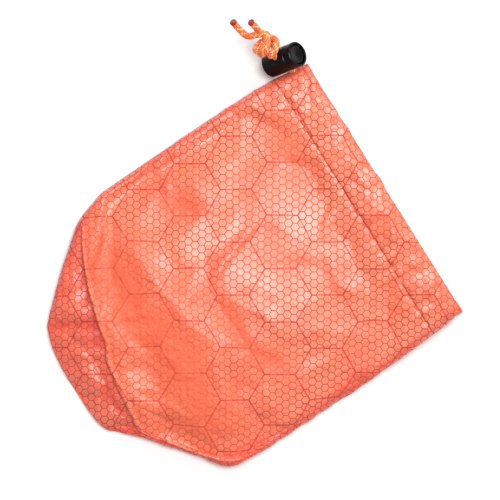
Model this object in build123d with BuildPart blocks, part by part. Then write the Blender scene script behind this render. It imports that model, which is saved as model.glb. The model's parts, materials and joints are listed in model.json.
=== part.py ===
"""Small round-bottomed nylon stuff sack, lying flat, with a spring cord lock.

+X runs from the base to the mouth, +Y to the corner with the cord lock, +Z up.
The origin is the middle of the sack's footprint, on the surface it lies on.
All sizes are in millimetres.
"""
from build123d import *
import math
import os

# ---- driving dimensions: the sack ----
SACK_LENGTH = 160.0
SACK_WIDTH = 133.4
SACK_HEIGHT = 22.0
CLOTH = 0.8
SIDE_ROUND = 0.38
CHANNEL_DEPTH = 16.5
SEAM_TOP_BACK = 19.0
SEAM_BOTTOM_BACK = 56.0
ALLOWANCE_WIDTH = 8.0
ALLOWANCE_THICK = 0.9
SIDE_SEAM_INSET = 3.0

# Each row: share of the length from the base, low and high edge as shares of
# half the width, and height as a share of the whole height.
OUTLINE = [
    (0.000, -0.180, 0.195, 0.155),
    (0.025, -0.380, 0.420, 0.340),
    (0.069, -0.504, 0.540, 0.660),
    (0.119, -0.643, 0.640, 0.955),
    (0.150, -0.732, 0.700, 1.000),
    (0.244, -0.990, 0.885, 1.000),
    (0.338, -1.000, 0.965, 0.977),
    (0.625, -0.980, 0.990, 0.886),
    (0.812, -0.963, 1.000, 0.832),
    (0.897, -0.954, 0.992, 0.800),
    (1.000, -0.930, 0.968, 0.773),
]

# ---- driving dimensions: thread ----
THREAD = 0.5
STITCH_LENGTH = 2.2
STITCH_PITCH = 3.2
THREAD_PROUD = 0.25
BAR_TACK_LENGTH = 4.4

# ---- driving dimensions: cord ----
CORD_D = 3.0
CORD_PLAY = 0.3
CORD_FROM_MOUTH = 5.7
EXIT_GAP = 8.0
STRAND_GAP = 0.1
STRAND_REACH = 7.0
KNOT_TURNS_LONG = 3.67
KNOT_TURNS_WIDE = 3.2
KNOT_OFFSET = -2.6
KNOT_CLEAR = 0.5
TIP_LENGTH = 1.6

# ---- driving dimensions: cord lock ----
BARREL_D = 11.0
BARREL_LENGTH = 17.6
BARREL_WALL = 1.0
BARREL_FLOOR = 1.0
SLIDING_CLEAR = 0.12
BUTTON_RECESS = 0.8
TRAVEL = 3.0
PRESS_STOP = 0.4
SLOT_CLEAR = 0.35
GROOVE_FROM_TOP = 4.0
GROOVE = 0.3
RIM_CHAMFER = 0.5
FOOT_CHAMFER = 1.0
SPRING_WIRE = 0.45
SPRING_TURNS = 3.5
SPRING_D = 5.8
SPRING_CLEAR = 0.05
PLUNGER_WEB = 0.8
LOCK_STANDOFF = 2.2
BARREL_AXIS = Vector(0.712, -0.165, 0.682).normalized()
CORD_LEAN = Vector(-0.31, 0.80, 0.52)

# ---- worked-out values ----
HALF_WIDTH = SACK_WIDTH / 2
MOUTH_X = SACK_LENGTH / 2
BASE_X = -SACK_LENGTH / 2
CHANNEL_X = MOUTH_X - CHANNEL_DEPTH
CORD_X = MOUTH_X - CORD_FROM_MOUTH
CHANNEL_GAP = CORD_D + 2 * CORD_PLAY
HEM_INSET = 2 * CLOTH + CHANNEL_GAP
CORD_INSET = CLOTH + CHANNEL_GAP / 2
SEAM_TOP_X = BASE_X + SEAM_TOP_BACK
SEAM_BOTTOM_X = BASE_X + SEAM_BOTTOM_BACK
CUT_MARGIN = 1.0
STRAND_SPACING = CORD_D + STRAND_GAP
KNOT_LENGTH = KNOT_TURNS_LONG * CORD_D
KNOT_WIDTH = KNOT_TURNS_WIDE * CORD_D

os.makedirs("parts", exist_ok=True)


def station_at(x):
    """Low edge, high edge and height of the sack at x, between the outline's rows."""
    share = (x - BASE_X) / SACK_LENGTH
    share = min(max(share, 0.0), 1.0)
    for near, far in zip(OUTLINE, OUTLINE[1:]):
        if share <= far[0]:
            break
    t = (share - near[0]) / (far[0] - near[0])
    low, high, height = (a + (b - a) * t for a, b in zip(near[1:], far[1:]))
    return low * HALF_WIDTH, high * HALF_WIDTH, height * SACK_HEIGHT


def crown_circle(x):
    """Middle, centre height, radius and side radius of the top arc at x."""
    low, high, height = station_at(x)
    side = SIDE_ROUND * height
    reach = (high - low) / 2 - side
    radius = (reach**2 + (height - side) ** 2 - side**2) / (2 * (height - 2 * side))
    return (low + high) / 2, height - radius, radius, side, reach


def top_height(x, y, inset=0.0):
    """Height of the sack's upper face above (x, y), below the outer face by inset."""
    middle, centre, radius, side, reach = crown_circle(x)
    across = abs(y - middle)
    joint = reach * radius / (radius - side)
    if across <= joint:
        return centre + math.sqrt((radius - inset) ** 2 - across**2)
    return side + math.sqrt(max((side - inset) ** 2 - (across - reach) ** 2, 0.0))


def cross_section(x, inset):
    """Points of the sack's section at x, inside it by inset, from its low edge round.

    They are the ends and middles of the far side, the top and the near side, which
    are three tangent arcs.
    """
    middle, centre, radius, side, reach = crown_circle(x)
    r = side - inset
    k = (radius - inset) / (radius - side)
    joint_y, joint_z = reach * k, centre + (side - centre) * k
    turn = math.atan2(joint_z - side, joint_y - reach) / 2 - math.pi / 4
    mid_y, mid_z = reach + r * math.cos(turn), side + r * math.sin(turn)
    half = [(reach, inset), (mid_y, mid_z), (joint_y, joint_z)]
    near = [(middle - y, z) for y, z in half]
    far = [(middle + y, z) for y, z in reversed(half)]
    return near + [(middle, centre + radius - inset)] + far


def section_plane(x):
    return Plane(origin=(x, 0, 0), x_dir=(0, 1, 0), z_dir=(1, 0, 0))


def pouch(inset, x_from, x_to, sink=0.0):
    """The sack's form, smaller all round by inset, from x_from to x_to."""
    rows = [BASE_X + row[0] * SACK_LENGTH for row in OUTLINE]
    places = [x_from] + [x for x in rows if x_from < x < x_to] + [x_to]
    with BuildPart() as form:
        for x in places:
            points = cross_section(x, inset)
            low, high = points[0], points[-1]
            with BuildSketch(section_plane(x)):
                with BuildLine():
                    ThreePointArc(*points[0:3])
                    ThreePointArc(*points[2:5])
                    ThreePointArc(*points[4:7])
                    if sink:
                        Polyline(high, (high[0], -sink), (low[0], -sink), low)
                    else:
                        Line(high, low)
                make_face()
        loft(ruled=True)
    return form.part


def box_between(low, high):
    """A plain block between two corners."""
    with BuildPart() as block:
        with Locations([tuple((a + b) / 2 for a, b in zip(low, high))]):
            Box(*(b - a for a, b in zip(low, high)))
    return block.part


# ---- forms shared by the cloth pieces ----
outer_form = pouch(0.0, BASE_X, MOUTH_X, sink=THREAD)
inner_form = pouch(CLOTH, BASE_X + CLOTH, MOUTH_X + CUT_MARGIN)
lining_form = pouch(
    CLOTH + ALLOWANCE_THICK, SEAM_TOP_X - 2 * CLOTH, MOUTH_X + CUT_MARGIN
)
under_floor = box_between(
    (2 * BASE_X, -SACK_WIDTH, -SACK_HEIGHT), (2 * MOUTH_X, SACK_WIDTH, 0)
)

# The base seam lies in a tilted plane that faces the mouth.
seam_rise = top_height(SEAM_TOP_X, station_at(SEAM_TOP_X)[0] + HALF_WIDTH * 0.64)
seam_run = SEAM_BOTTOM_X - SEAM_TOP_X
seam_normal = Vector(seam_rise, 0, seam_run).normalized()
seam_plane = Plane(
    origin=(SEAM_BOTTOM_X, 0, 0), x_dir=(0, 1, 0), z_dir=(seam_normal.X, 0, seam_normal.Z)
)

exit_low, exit_high, exit_height = station_at(CORD_X)
exit_side = SIDE_ROUND * exit_height
exit_hole = box_between(
    (CORD_X - EXIT_GAP / 2, exit_high - exit_side, CLOTH),
    (CORD_X + EXIT_GAP / 2, exit_high + exit_side, 2 * exit_side - CLOTH),
)

# ---- body panel: the tube of cloth from the base seam to the mouth ----
with BuildPart() as body_panel:
    add(outer_form)
    add(under_floor, mode=Mode.SUBTRACT)
    add(inner_form, mode=Mode.SUBTRACT)
    split(bisect_by=seam_plane, keep=Keep.TOP)
    add(exit_hole, mode=Mode.SUBTRACT)

# ---- base panel: the round bottom, folded over the far end ----
with BuildPart() as base_panel:
    add(outer_form)
    add(under_floor, mode=Mode.SUBTRACT)
    add(inner_form, mode=Mode.SUBTRACT)
    split(bisect_by=seam_plane, keep=Keep.BOTTOM)

# ---- channel hem: the mouth edge turned inward round the drawcord ----
hem_form = pouch(CLOTH, CHANNEL_X, MOUTH_X)
mouth_form = pouch(HEM_INSET, CHANNEL_X - CUT_MARGIN, MOUTH_X + CUT_MARGIN)
channel_form = pouch(CLOTH / 2, CHANNEL_X + CLOTH, MOUTH_X - CLOTH)
channel_core = pouch(CLOTH + CHANNEL_GAP, CHANNEL_X, MOUTH_X)
with BuildPart() as channel_void:
    add(channel_form)
    add(channel_core, mode=Mode.SUBTRACT)
with BuildPart() as channel_hem:
    add(hem_form)
    add(channel_void.part, mode=Mode.SUBTRACT)
    add(mouth_form, mode=Mode.SUBTRACT)

# ---- base seam allowance: the raw edges turned inside behind the base seam ----
allowance_plane = seam_plane.offset(ALLOWANCE_WIDTH * seam_normal.X)
with BuildPart() as base_seam_allowance:
    add(inner_form)
    add(lining_form, mode=Mode.SUBTRACT)
    split(bisect_by=seam_plane, keep=Keep.TOP)
    split(bisect_by=allowance_plane, keep=Keep.BOTTOM)

# ---- side seam allowance: the flat-felled edge along the cord lock side ----
side_from = SEAM_BOTTOM_X + ALLOWANCE_WIDTH + 2 * CLOTH
side_to = CHANNEL_X - CLOTH


def side_seam_y(x):
    """Outer edge of the side seam's allowance at x, on the sack's lower layer."""
    high, height = station_at(x)[1:]
    return high - SIDE_ROUND * height - SIDE_SEAM_INSET


with BuildPart() as side_seam_allowance:
    with BuildSketch(Plane.XY.offset(CLOTH)):
        with BuildLine():
            Polyline(
                (side_from, side_seam_y(side_from)),
                (side_to, side_seam_y(side_to)),
                (side_to, side_seam_y(side_to) - ALLOWANCE_WIDTH),
                (side_from, side_seam_y(side_from) - ALLOWANCE_WIDTH),
                close=True,
            )
        make_face()
    extrude(amount=ALLOWANCE_THICK)


# ---- stitching: short lengths of thread sewn into the cloth ----
def steps(first, last, pitch):
    """Even places from first to last, about pitch apart."""
    count = max(int((last - first) / pitch), 1)
    return [first + (last - first) * (i + 0.5) / count for i in range(count)]


def stitch_block(along):
    """Draw one stitch about the current place, lying along X or Y."""
    if along == "X":
        Box(STITCH_LENGTH, THREAD, THREAD)
    else:
        Box(THREAD, STITCH_LENGTH, THREAD)


def sink_of(height):
    """Middle height of a stitch that stands a little proud of a face at height."""
    return height - THREAD / 2 + THREAD_PROUD


channel_line = CHANNEL_X + CLOTH / 2
line_low, line_high, line_height = station_at(channel_line)
line_side = SIDE_ROUND * line_height
channel_row = steps(line_low + line_side, line_high - line_side, STITCH_PITCH)
with BuildPart() as channel_stitching:
    upper = [(channel_line, y, sink_of(top_height(channel_line, y))) for y in channel_row]
    lower = [(channel_line, y, THREAD / 2) for y in channel_row]
    with Locations(upper + lower):
        stitch_block("Y")


def seam_point(y):
    """Place on the base seam's upper line at y, just on the body panel's side."""
    x = SEAM_TOP_X
    for _ in range(30):
        z = top_height(x, y)
        x = 0.5 * x + 0.5 * (SEAM_BOTTOM_X - seam_run * z / seam_rise)
    return x + 2 * CLOTH


base_row = steps(-0.62 * HALF_WIDTH, 0.62 * HALF_WIDTH, STITCH_PITCH)
with BuildPart() as base_seam_stitching:
    upper = [(seam_point(y), y, sink_of(top_height(seam_point(y), y))) for y in base_row]
    with Locations(upper):
        stitch_block("Y")

with BuildPart() as side_seam_stitching:
    places = steps(side_from + STITCH_LENGTH, side_to - STITCH_LENGTH, STITCH_PITCH)
    with Locations(
        [
            (x, side_seam_y(x) - ALLOWANCE_WIDTH / 2, sink_of(CLOTH + ALLOWANCE_THICK))
            for x in places
        ]
    ):
        stitch_block("X")

tack_reach = EXIT_GAP / 2 + 2 * THREAD
with BuildPart() as exit_bar_tacks:
    with Locations(
        [
            (x, station_at(x)[1] - THREAD / 2 + THREAD_PROUD, exit_side)
            for x in (CORD_X - tack_reach, CORD_X + tack_reach)
        ]
    ):
        Box(2 * THREAD, THREAD, BAR_TACK_LENGTH)

# ---- cord lock frame: local Z along the barrel, local Y along the cord ----
strand_side = BARREL_AXIS.cross(CORD_LEAN).normalized()
CORD_WAY = strand_side.cross(BARREL_AXIS).normalized()
exit_point = Vector(CORD_X, exit_high, exit_side)
lock_centre = exit_point + CORD_WAY * (BARREL_D / 2 + LOCK_STANDOFF)
lock_plane = Plane(origin=lock_centre, x_dir=-strand_side, z_dir=BARREL_AXIS)

bore_r = BARREL_D / 2 - BARREL_WALL
plunger_r = bore_r - SLIDING_CLEAR
barrel_top = BARREL_LENGTH / 2
bore_floor = -BARREL_LENGTH / 2 + BARREL_FLOOR
slot_width = STRAND_SPACING + CORD_D + 2 * SLOT_CLEAR
slot_low = -CORD_D / 2 - SLOT_CLEAR
slot_high = CORD_D / 2 + SLOT_CLEAR
plunger_foot = bore_floor + TRAVEL + PRESS_STOP
button_face = barrel_top - BUTTON_RECESS
spring_seat = slot_low - PLUNGER_WEB


def cord_slot(low, high):
    """The rounded bar that clears both strands, from low to high along the barrel."""
    start = lock_plane.from_local_coords(Vector(0, -BARREL_D, (low + high) / 2))
    with BuildPart() as bar:
        with BuildSketch(Plane(origin=start, x_dir=lock_plane.x_dir, z_dir=CORD_WAY)):
            RectangleRounded(slot_width, high - low, CORD_D / 2)
        extrude(amount=2 * BARREL_D)
    return bar.part


def turned(profile):
    """Turn a half profile of (radius, height) points about the barrel's axis."""
    side_view = Plane(
        origin=lock_centre, x_dir=lock_plane.x_dir, z_dir=-lock_plane.y_dir
    )
    with BuildPart() as body:
        with BuildSketch(side_view):
            with BuildLine():
                Polyline(*profile, close=True)
            make_face()
        revolve(axis=Axis(lock_centre, BARREL_AXIS))
    return body.part


foot = -barrel_top
groove_z = barrel_top - GROOVE_FROM_TOP
outer_r = BARREL_D / 2
barrel_form = turned(
    [
        (0, foot),
        (outer_r - FOOT_CHAMFER, foot),
        (outer_r, foot + FOOT_CHAMFER),
        (outer_r, groove_z - GROOVE),
        (outer_r - GROOVE, groove_z),
        (outer_r, groove_z + GROOVE),
        (outer_r, barrel_top - RIM_CHAMFER / 2),
        (outer_r - RIM_CHAMFER / 2, barrel_top),
        (bore_r + RIM_CHAMFER / 2, barrel_top),
        (bore_r, barrel_top - RIM_CHAMFER),
        (bore_r, bore_floor),
        (0, bore_floor),
    ]
)
barrel_slot = cord_slot(slot_low, slot_high)
with BuildPart() as cord_lock_barrel:
    add(barrel_form)
    add(barrel_slot, mode=Mode.SUBTRACT)

seat_r = SPRING_D / 2 + 2 * SPRING_CLEAR
plunger_form = turned(
    [
        (0, spring_seat),
        (seat_r, spring_seat),
        (seat_r, plunger_foot),
        (plunger_r, plunger_foot),
        (plunger_r, button_face - RIM_CHAMFER),
        (plunger_r - RIM_CHAMFER, button_face),
        (plunger_r - 2 * RIM_CHAMFER, button_face),
        (0, button_face - RIM_CHAMFER),
    ]
)
plunger_slot = cord_slot(slot_low, slot_high + TRAVEL)
with BuildPart() as cord_lock_plunger:
    add(plunger_form)
    add(plunger_slot, mode=Mode.SUBTRACT)

spring_height = spring_seat - bore_floor - SPRING_WIRE - 2 * SPRING_CLEAR
spring_base = lock_plane.from_local_coords(
    Vector(0, 0, bore_floor + SPRING_WIRE / 2 + SPRING_CLEAR)
)
with BuildPart() as cord_lock_spring:
    with BuildLine():
        coil = Helix(
            pitch=spring_height / SPRING_TURNS,
            height=spring_height,
            radius=(SPRING_D - SPRING_WIRE) / 2,
            center=spring_base,
            direction=BARREL_AXIS,
        )
    with BuildSketch(Plane(origin=coil @ 0, z_dir=coil % 0)):
        RegularPolygon(SPRING_WIRE / 2, side_count=8)
    sweep(is_frenet=True)

# ---- drawcord inside the channel: round the mouth, both ends at the exit gap ----
cord_line = [Vector(CORD_X, y, z) for y, z in cross_section(CORD_X, CORD_INSET)]
with BuildPart() as drawcord_in_channel:
    with BuildLine():
        lower_run = Line(cord_line[6], cord_line[0])
        ThreePointArc(*cord_line[0:3])
        ThreePointArc(*cord_line[2:5])
    with BuildSketch(Plane(origin=lower_run @ 0, z_dir=lower_run % 0)):
        Circle(CORD_D / 2)
    sweep()

# ---- drawcord outside: two strands through the lock, one knot, two tails ----
KNOT_START = BARREL_D / 2 + KNOT_CLEAR
knot_middle = lock_plane.from_local_coords(
    Vector(0, KNOT_START + KNOT_LENGTH / 2, KNOT_OFFSET)
)
with BuildPart() as drawcord_through_lock:
    for side_step in (-STRAND_SPACING / 2, STRAND_SPACING / 2):
        start = lock_plane.from_local_coords(Vector(side_step, -STRAND_REACH, 0))
        with BuildSketch(Plane(origin=start, z_dir=CORD_WAY)):
            Circle(CORD_D / 2)
    extrude(amount=STRAND_REACH + KNOT_START + CORD_D / 2)

with BuildPart() as drawcord_knot:
    with BuildSketch(
        Plane(origin=knot_middle, x_dir=CORD_WAY, z_dir=lock_plane.x_dir)
    ):
        with BuildLine():
            half = KNOT_LENGTH / 2
            ThreePointArc((-half, 0), (0, KNOT_WIDTH / 2), (half, 0))
            Line((half, 0), (-half, 0))
        make_face()
    revolve(axis=Axis(knot_middle, CORD_WAY))

# Each tail's route is chosen by hand, measured from the knot's middle.
LONG_TAIL = [(-1.3, 2.6, -1.3), (-2.1, 8.4, -2.0), (-4.8, 14.6, -3.6)]
SHORT_TAIL = [(1.8, 2.4, 1.1), (3.0, 6.4, 0.8), (3.2, 11.0, -0.4)]


long_route = [knot_middle + Vector(*step) for step in LONG_TAIL]
short_route = [knot_middle + Vector(*step) for step in SHORT_TAIL]


def bend_radius(route):
    """Largest radius that the middle corner's two runs allow."""
    first, second = route[1] - route[0], route[2] - route[1]
    half_turn = math.radians(first.get_angle(second)) / 2
    radius = 0.45 * min(first.length, second.length) / math.tan(half_turn)
    print("tail bend radius", round(radius, 2), "mm")
    return radius


with BuildPart() as drawcord_tail_long:
    with BuildLine():
        long_way = FilletPolyline(*long_route, radius=[bend_radius(long_route)])
    with BuildSketch(Plane(origin=long_way @ 0, z_dir=long_way % 0)):
        Circle(CORD_D / 2)
    sweep()

with BuildPart() as drawcord_tail_short:
    with BuildLine():
        short_way = FilletPolyline(*short_route, radius=[bend_radius(short_route)])
    with BuildSketch(Plane(origin=short_way @ 0, z_dir=short_way % 0)):
        Circle(CORD_D / 2)
    sweep()

# The long tail ends in a flat melted cut, the short one in a rounded bead.
with BuildPart() as cord_tip_long:
    with BuildSketch(Plane(origin=long_way @ 1, z_dir=long_way % 1)):
        Circle(CORD_D / 2)
    extrude(amount=TIP_LENGTH)
    fillet(faces().sort_by(Axis(long_way @ 1, long_way % 1))[-1].edges(), CORD_D / 10)
with BuildPart() as cord_tip_short:
    with BuildSketch(Plane(origin=short_way @ 1, z_dir=short_way % 1)):
        Circle(CORD_D / 2)
    extrude(amount=TIP_LENGTH)
    fillet(faces().sort_by(Axis(short_way @ 1, short_way % 1))[-1].edges(), CORD_D / 3)

pieces = {
    "body_panel": body_panel,
    "base_panel": base_panel,
    "channel_hem": channel_hem,
    "base_seam_allowance": base_seam_allowance,
    "side_seam_allowance": side_seam_allowance,
    "channel_stitching": channel_stitching,
    "base_seam_stitching": base_seam_stitching,
    "side_seam_stitching": side_seam_stitching,
    "exit_bar_tacks": exit_bar_tacks,
    "drawcord_in_channel": drawcord_in_channel,
    "drawcord_through_lock": drawcord_through_lock,
    "drawcord_knot": drawcord_knot,
    "drawcord_tail_long": drawcord_tail_long,
    "drawcord_tail_short": drawcord_tail_short,
    "cord_tip_long": cord_tip_long,
    "cord_tip_short": cord_tip_short,
    "cord_lock_barrel": cord_lock_barrel,
    "cord_lock_plunger": cord_lock_plunger,
    "cord_lock_spring": cord_lock_spring,
}
for name, piece in pieces.items():
    piece.part.label = name
    export_step(piece.part, f"parts/{name}.step")
print("cord way", CORD_WAY, "barrel axis", BARREL_AXIS, "lock centre", lock_centre)
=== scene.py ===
"""Looks of a small ripstop stuff sack that lies flat: cloth, thread, cord and cord lock.

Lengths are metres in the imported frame: +X to the mouth, +Y to the cord lock, +Z up.
Tables and names that end in _MM are in millimetres.
"""

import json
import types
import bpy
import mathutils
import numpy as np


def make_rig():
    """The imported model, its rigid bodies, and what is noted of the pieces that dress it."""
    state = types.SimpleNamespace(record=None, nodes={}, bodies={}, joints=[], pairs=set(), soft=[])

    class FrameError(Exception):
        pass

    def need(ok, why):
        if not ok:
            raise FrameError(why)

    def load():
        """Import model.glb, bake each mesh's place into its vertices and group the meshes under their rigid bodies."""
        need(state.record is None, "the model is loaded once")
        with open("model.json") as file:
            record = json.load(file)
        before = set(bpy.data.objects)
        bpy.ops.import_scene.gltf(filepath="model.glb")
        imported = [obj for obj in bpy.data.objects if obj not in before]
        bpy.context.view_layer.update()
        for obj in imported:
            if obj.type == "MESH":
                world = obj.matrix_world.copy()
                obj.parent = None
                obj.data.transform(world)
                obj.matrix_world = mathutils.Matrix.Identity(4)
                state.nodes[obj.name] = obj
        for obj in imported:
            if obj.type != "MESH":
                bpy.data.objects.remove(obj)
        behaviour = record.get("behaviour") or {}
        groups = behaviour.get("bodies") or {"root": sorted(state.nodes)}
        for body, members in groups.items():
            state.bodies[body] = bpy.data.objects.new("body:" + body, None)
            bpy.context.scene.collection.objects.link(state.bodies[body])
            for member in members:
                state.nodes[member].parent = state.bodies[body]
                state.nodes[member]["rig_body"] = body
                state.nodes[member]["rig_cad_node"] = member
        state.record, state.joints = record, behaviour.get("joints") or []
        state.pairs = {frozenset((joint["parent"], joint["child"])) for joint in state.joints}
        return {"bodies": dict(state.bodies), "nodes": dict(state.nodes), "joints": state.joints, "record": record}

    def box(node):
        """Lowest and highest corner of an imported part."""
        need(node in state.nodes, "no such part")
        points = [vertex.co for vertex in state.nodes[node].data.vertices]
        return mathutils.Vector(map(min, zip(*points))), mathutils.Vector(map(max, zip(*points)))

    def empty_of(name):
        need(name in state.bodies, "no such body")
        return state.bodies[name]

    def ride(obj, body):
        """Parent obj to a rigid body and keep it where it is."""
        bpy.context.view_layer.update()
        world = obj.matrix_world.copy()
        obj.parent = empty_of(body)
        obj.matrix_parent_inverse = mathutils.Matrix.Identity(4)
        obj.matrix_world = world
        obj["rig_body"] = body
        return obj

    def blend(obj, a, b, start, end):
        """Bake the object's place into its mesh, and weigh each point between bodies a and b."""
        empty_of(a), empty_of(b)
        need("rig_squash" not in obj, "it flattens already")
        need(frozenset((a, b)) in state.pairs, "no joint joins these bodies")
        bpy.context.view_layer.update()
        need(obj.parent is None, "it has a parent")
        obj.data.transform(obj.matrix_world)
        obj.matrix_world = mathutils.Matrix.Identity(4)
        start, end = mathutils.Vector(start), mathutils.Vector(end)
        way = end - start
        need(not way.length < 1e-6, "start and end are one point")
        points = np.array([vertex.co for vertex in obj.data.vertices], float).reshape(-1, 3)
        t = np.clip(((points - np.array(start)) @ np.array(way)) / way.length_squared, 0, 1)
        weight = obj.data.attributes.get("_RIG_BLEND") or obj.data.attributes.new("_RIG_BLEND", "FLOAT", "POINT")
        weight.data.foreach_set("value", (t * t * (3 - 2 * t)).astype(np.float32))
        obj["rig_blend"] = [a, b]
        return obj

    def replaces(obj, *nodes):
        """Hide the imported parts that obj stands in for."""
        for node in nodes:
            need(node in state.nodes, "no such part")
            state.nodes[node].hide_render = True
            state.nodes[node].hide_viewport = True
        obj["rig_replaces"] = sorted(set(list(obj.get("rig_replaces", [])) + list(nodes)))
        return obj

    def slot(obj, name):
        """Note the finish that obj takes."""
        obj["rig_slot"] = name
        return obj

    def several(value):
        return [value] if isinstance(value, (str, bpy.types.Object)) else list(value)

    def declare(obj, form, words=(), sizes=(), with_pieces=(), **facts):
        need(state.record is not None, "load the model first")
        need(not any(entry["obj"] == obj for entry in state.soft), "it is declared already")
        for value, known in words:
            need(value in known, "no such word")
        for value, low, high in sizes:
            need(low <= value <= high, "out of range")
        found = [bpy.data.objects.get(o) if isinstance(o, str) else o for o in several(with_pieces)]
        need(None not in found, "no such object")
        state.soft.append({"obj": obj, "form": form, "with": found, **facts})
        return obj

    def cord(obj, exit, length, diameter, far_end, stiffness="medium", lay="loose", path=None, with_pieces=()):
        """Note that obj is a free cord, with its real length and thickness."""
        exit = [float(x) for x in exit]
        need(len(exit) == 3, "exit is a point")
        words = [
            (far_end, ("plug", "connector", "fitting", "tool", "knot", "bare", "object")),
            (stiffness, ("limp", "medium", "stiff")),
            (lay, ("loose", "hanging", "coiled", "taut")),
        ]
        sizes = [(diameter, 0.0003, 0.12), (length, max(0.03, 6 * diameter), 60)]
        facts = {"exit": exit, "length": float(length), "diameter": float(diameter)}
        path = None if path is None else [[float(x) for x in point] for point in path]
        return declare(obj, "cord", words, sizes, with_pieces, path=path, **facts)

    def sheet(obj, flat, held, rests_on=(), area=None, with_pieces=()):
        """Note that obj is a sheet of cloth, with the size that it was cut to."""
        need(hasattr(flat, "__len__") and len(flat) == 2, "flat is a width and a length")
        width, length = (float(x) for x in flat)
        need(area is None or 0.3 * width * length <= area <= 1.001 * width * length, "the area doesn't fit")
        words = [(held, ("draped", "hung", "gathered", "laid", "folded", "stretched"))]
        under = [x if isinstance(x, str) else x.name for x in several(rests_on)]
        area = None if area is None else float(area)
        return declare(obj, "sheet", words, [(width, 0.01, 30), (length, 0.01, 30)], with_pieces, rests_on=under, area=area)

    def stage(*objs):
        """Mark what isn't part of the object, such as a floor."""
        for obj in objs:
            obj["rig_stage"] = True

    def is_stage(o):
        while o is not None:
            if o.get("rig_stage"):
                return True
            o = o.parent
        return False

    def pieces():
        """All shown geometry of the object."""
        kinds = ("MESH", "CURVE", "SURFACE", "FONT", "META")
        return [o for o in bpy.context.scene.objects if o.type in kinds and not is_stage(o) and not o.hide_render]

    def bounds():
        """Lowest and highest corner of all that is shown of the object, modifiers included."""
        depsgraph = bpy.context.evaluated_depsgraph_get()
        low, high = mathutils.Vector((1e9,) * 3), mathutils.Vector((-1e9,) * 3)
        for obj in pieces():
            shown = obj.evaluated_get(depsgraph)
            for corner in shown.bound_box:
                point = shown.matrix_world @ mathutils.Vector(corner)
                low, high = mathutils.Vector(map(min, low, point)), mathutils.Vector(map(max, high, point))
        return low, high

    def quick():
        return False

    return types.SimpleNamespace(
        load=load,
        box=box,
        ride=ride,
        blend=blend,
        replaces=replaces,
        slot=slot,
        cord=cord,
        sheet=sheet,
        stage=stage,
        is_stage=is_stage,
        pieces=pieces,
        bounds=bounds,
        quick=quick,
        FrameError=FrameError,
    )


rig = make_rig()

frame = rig.load()

import json
import logging
import math
from collections.abc import Iterable, Sequence
from dataclasses import dataclass, field
from enum import Enum

import bpy
import numpy as np
from mathutils import Euler, Vector, noise

log = logging.getLogger("stuff_sack")
MM = 0.001
FULL_TURN = 2 * math.pi
MOUTH_MM = 80.0
STITCH_LINE_MM = 63.9
GIRTH_MM = 270.0
LOCK_AXIS = Vector((0.712252, -0.165058, 0.682241)).normalized()
LOCK_CENTRE_MM = Vector((71.9102, 71.2618, 10.5214))
Colour = tuple[float, float, float]
Point = tuple[float, float, float]


class Part(Enum):
    """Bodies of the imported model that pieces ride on."""

    SACK = "sack"
    LOCK = "lock"
    PLUNGER = "plunger"
    PULL = "pull"


class Slot(Enum):
    """Material slots of the record."""

    CLOTH = "coral_ripstop"
    THREAD = "sewing_thread"
    CORD = "braided_cord"
    MELTED = "melted_cord_end"
    STEEL = "spring_steel"


# ---- shader expressions ----
class Value:
    """A shader socket that takes part in Python arithmetic."""

    def __init__(self, paint: "Paint", socket: bpy.types.NodeSocket) -> None:
        """Wrap a socket of the material that paint builds."""
        self.paint = paint
        self.socket = socket

    def _math(self, operation: str, *others: "Value | float") -> "Value":
        """Add a Math node that takes this value and the others."""
        inputs = dict(enumerate((self, *others)))
        return self.paint.node("ShaderNodeMath", {"operation": operation}, inputs)

    def __add__(self, other: "Value | float") -> "Value":
        """Sum."""
        return self._math("ADD", other)

    __radd__ = __add__

    def __sub__(self, other: "Value | float") -> "Value":
        """Difference."""
        return self._math("SUBTRACT", other)

    def __rsub__(self, other: float) -> "Value":
        """Difference from a plain number."""
        return self.paint.node("ShaderNodeMath", {"operation": "SUBTRACT"}, {0: other, 1: self})

    def __mul__(self, other: "Value | float") -> "Value":
        """Product."""
        return self._math("MULTIPLY", other)

    __rmul__ = __mul__

    def __abs__(self) -> "Value":
        """Size without its sign."""
        return self._math("ABSOLUTE")

    def least(self, other: "Value | float") -> "Value":
        """The smaller of two values."""
        return self._math("MINIMUM", other)

    def most(self, other: "Value | float") -> "Value":
        """The larger of two values."""
        return self._math("MAXIMUM", other)

    def wave(self) -> "Value":
        """Sine of this value in radians."""
        return self._math("SINE")

    def wrapped(self, span: float) -> "Value":
        """This value folded into a cell of the given span, about the cell's middle."""
        return self._math("WRAP", span / 2, -span / 2)

    def ramp(self, low: float, high: float) -> "Value":
        """Rise smoothly between two bounds.

        Args:
            low: Where the rise starts.
            high: Where it ends.

        Returns:
            Nought below low and one above high.
        """
        settings = {"interpolation_type": "SMOOTHSTEP"}
        inputs = {"Value": self, "From Min": low, "From Max": high}
        return self.paint.node("ShaderNodeMapRange", settings, inputs)


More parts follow.
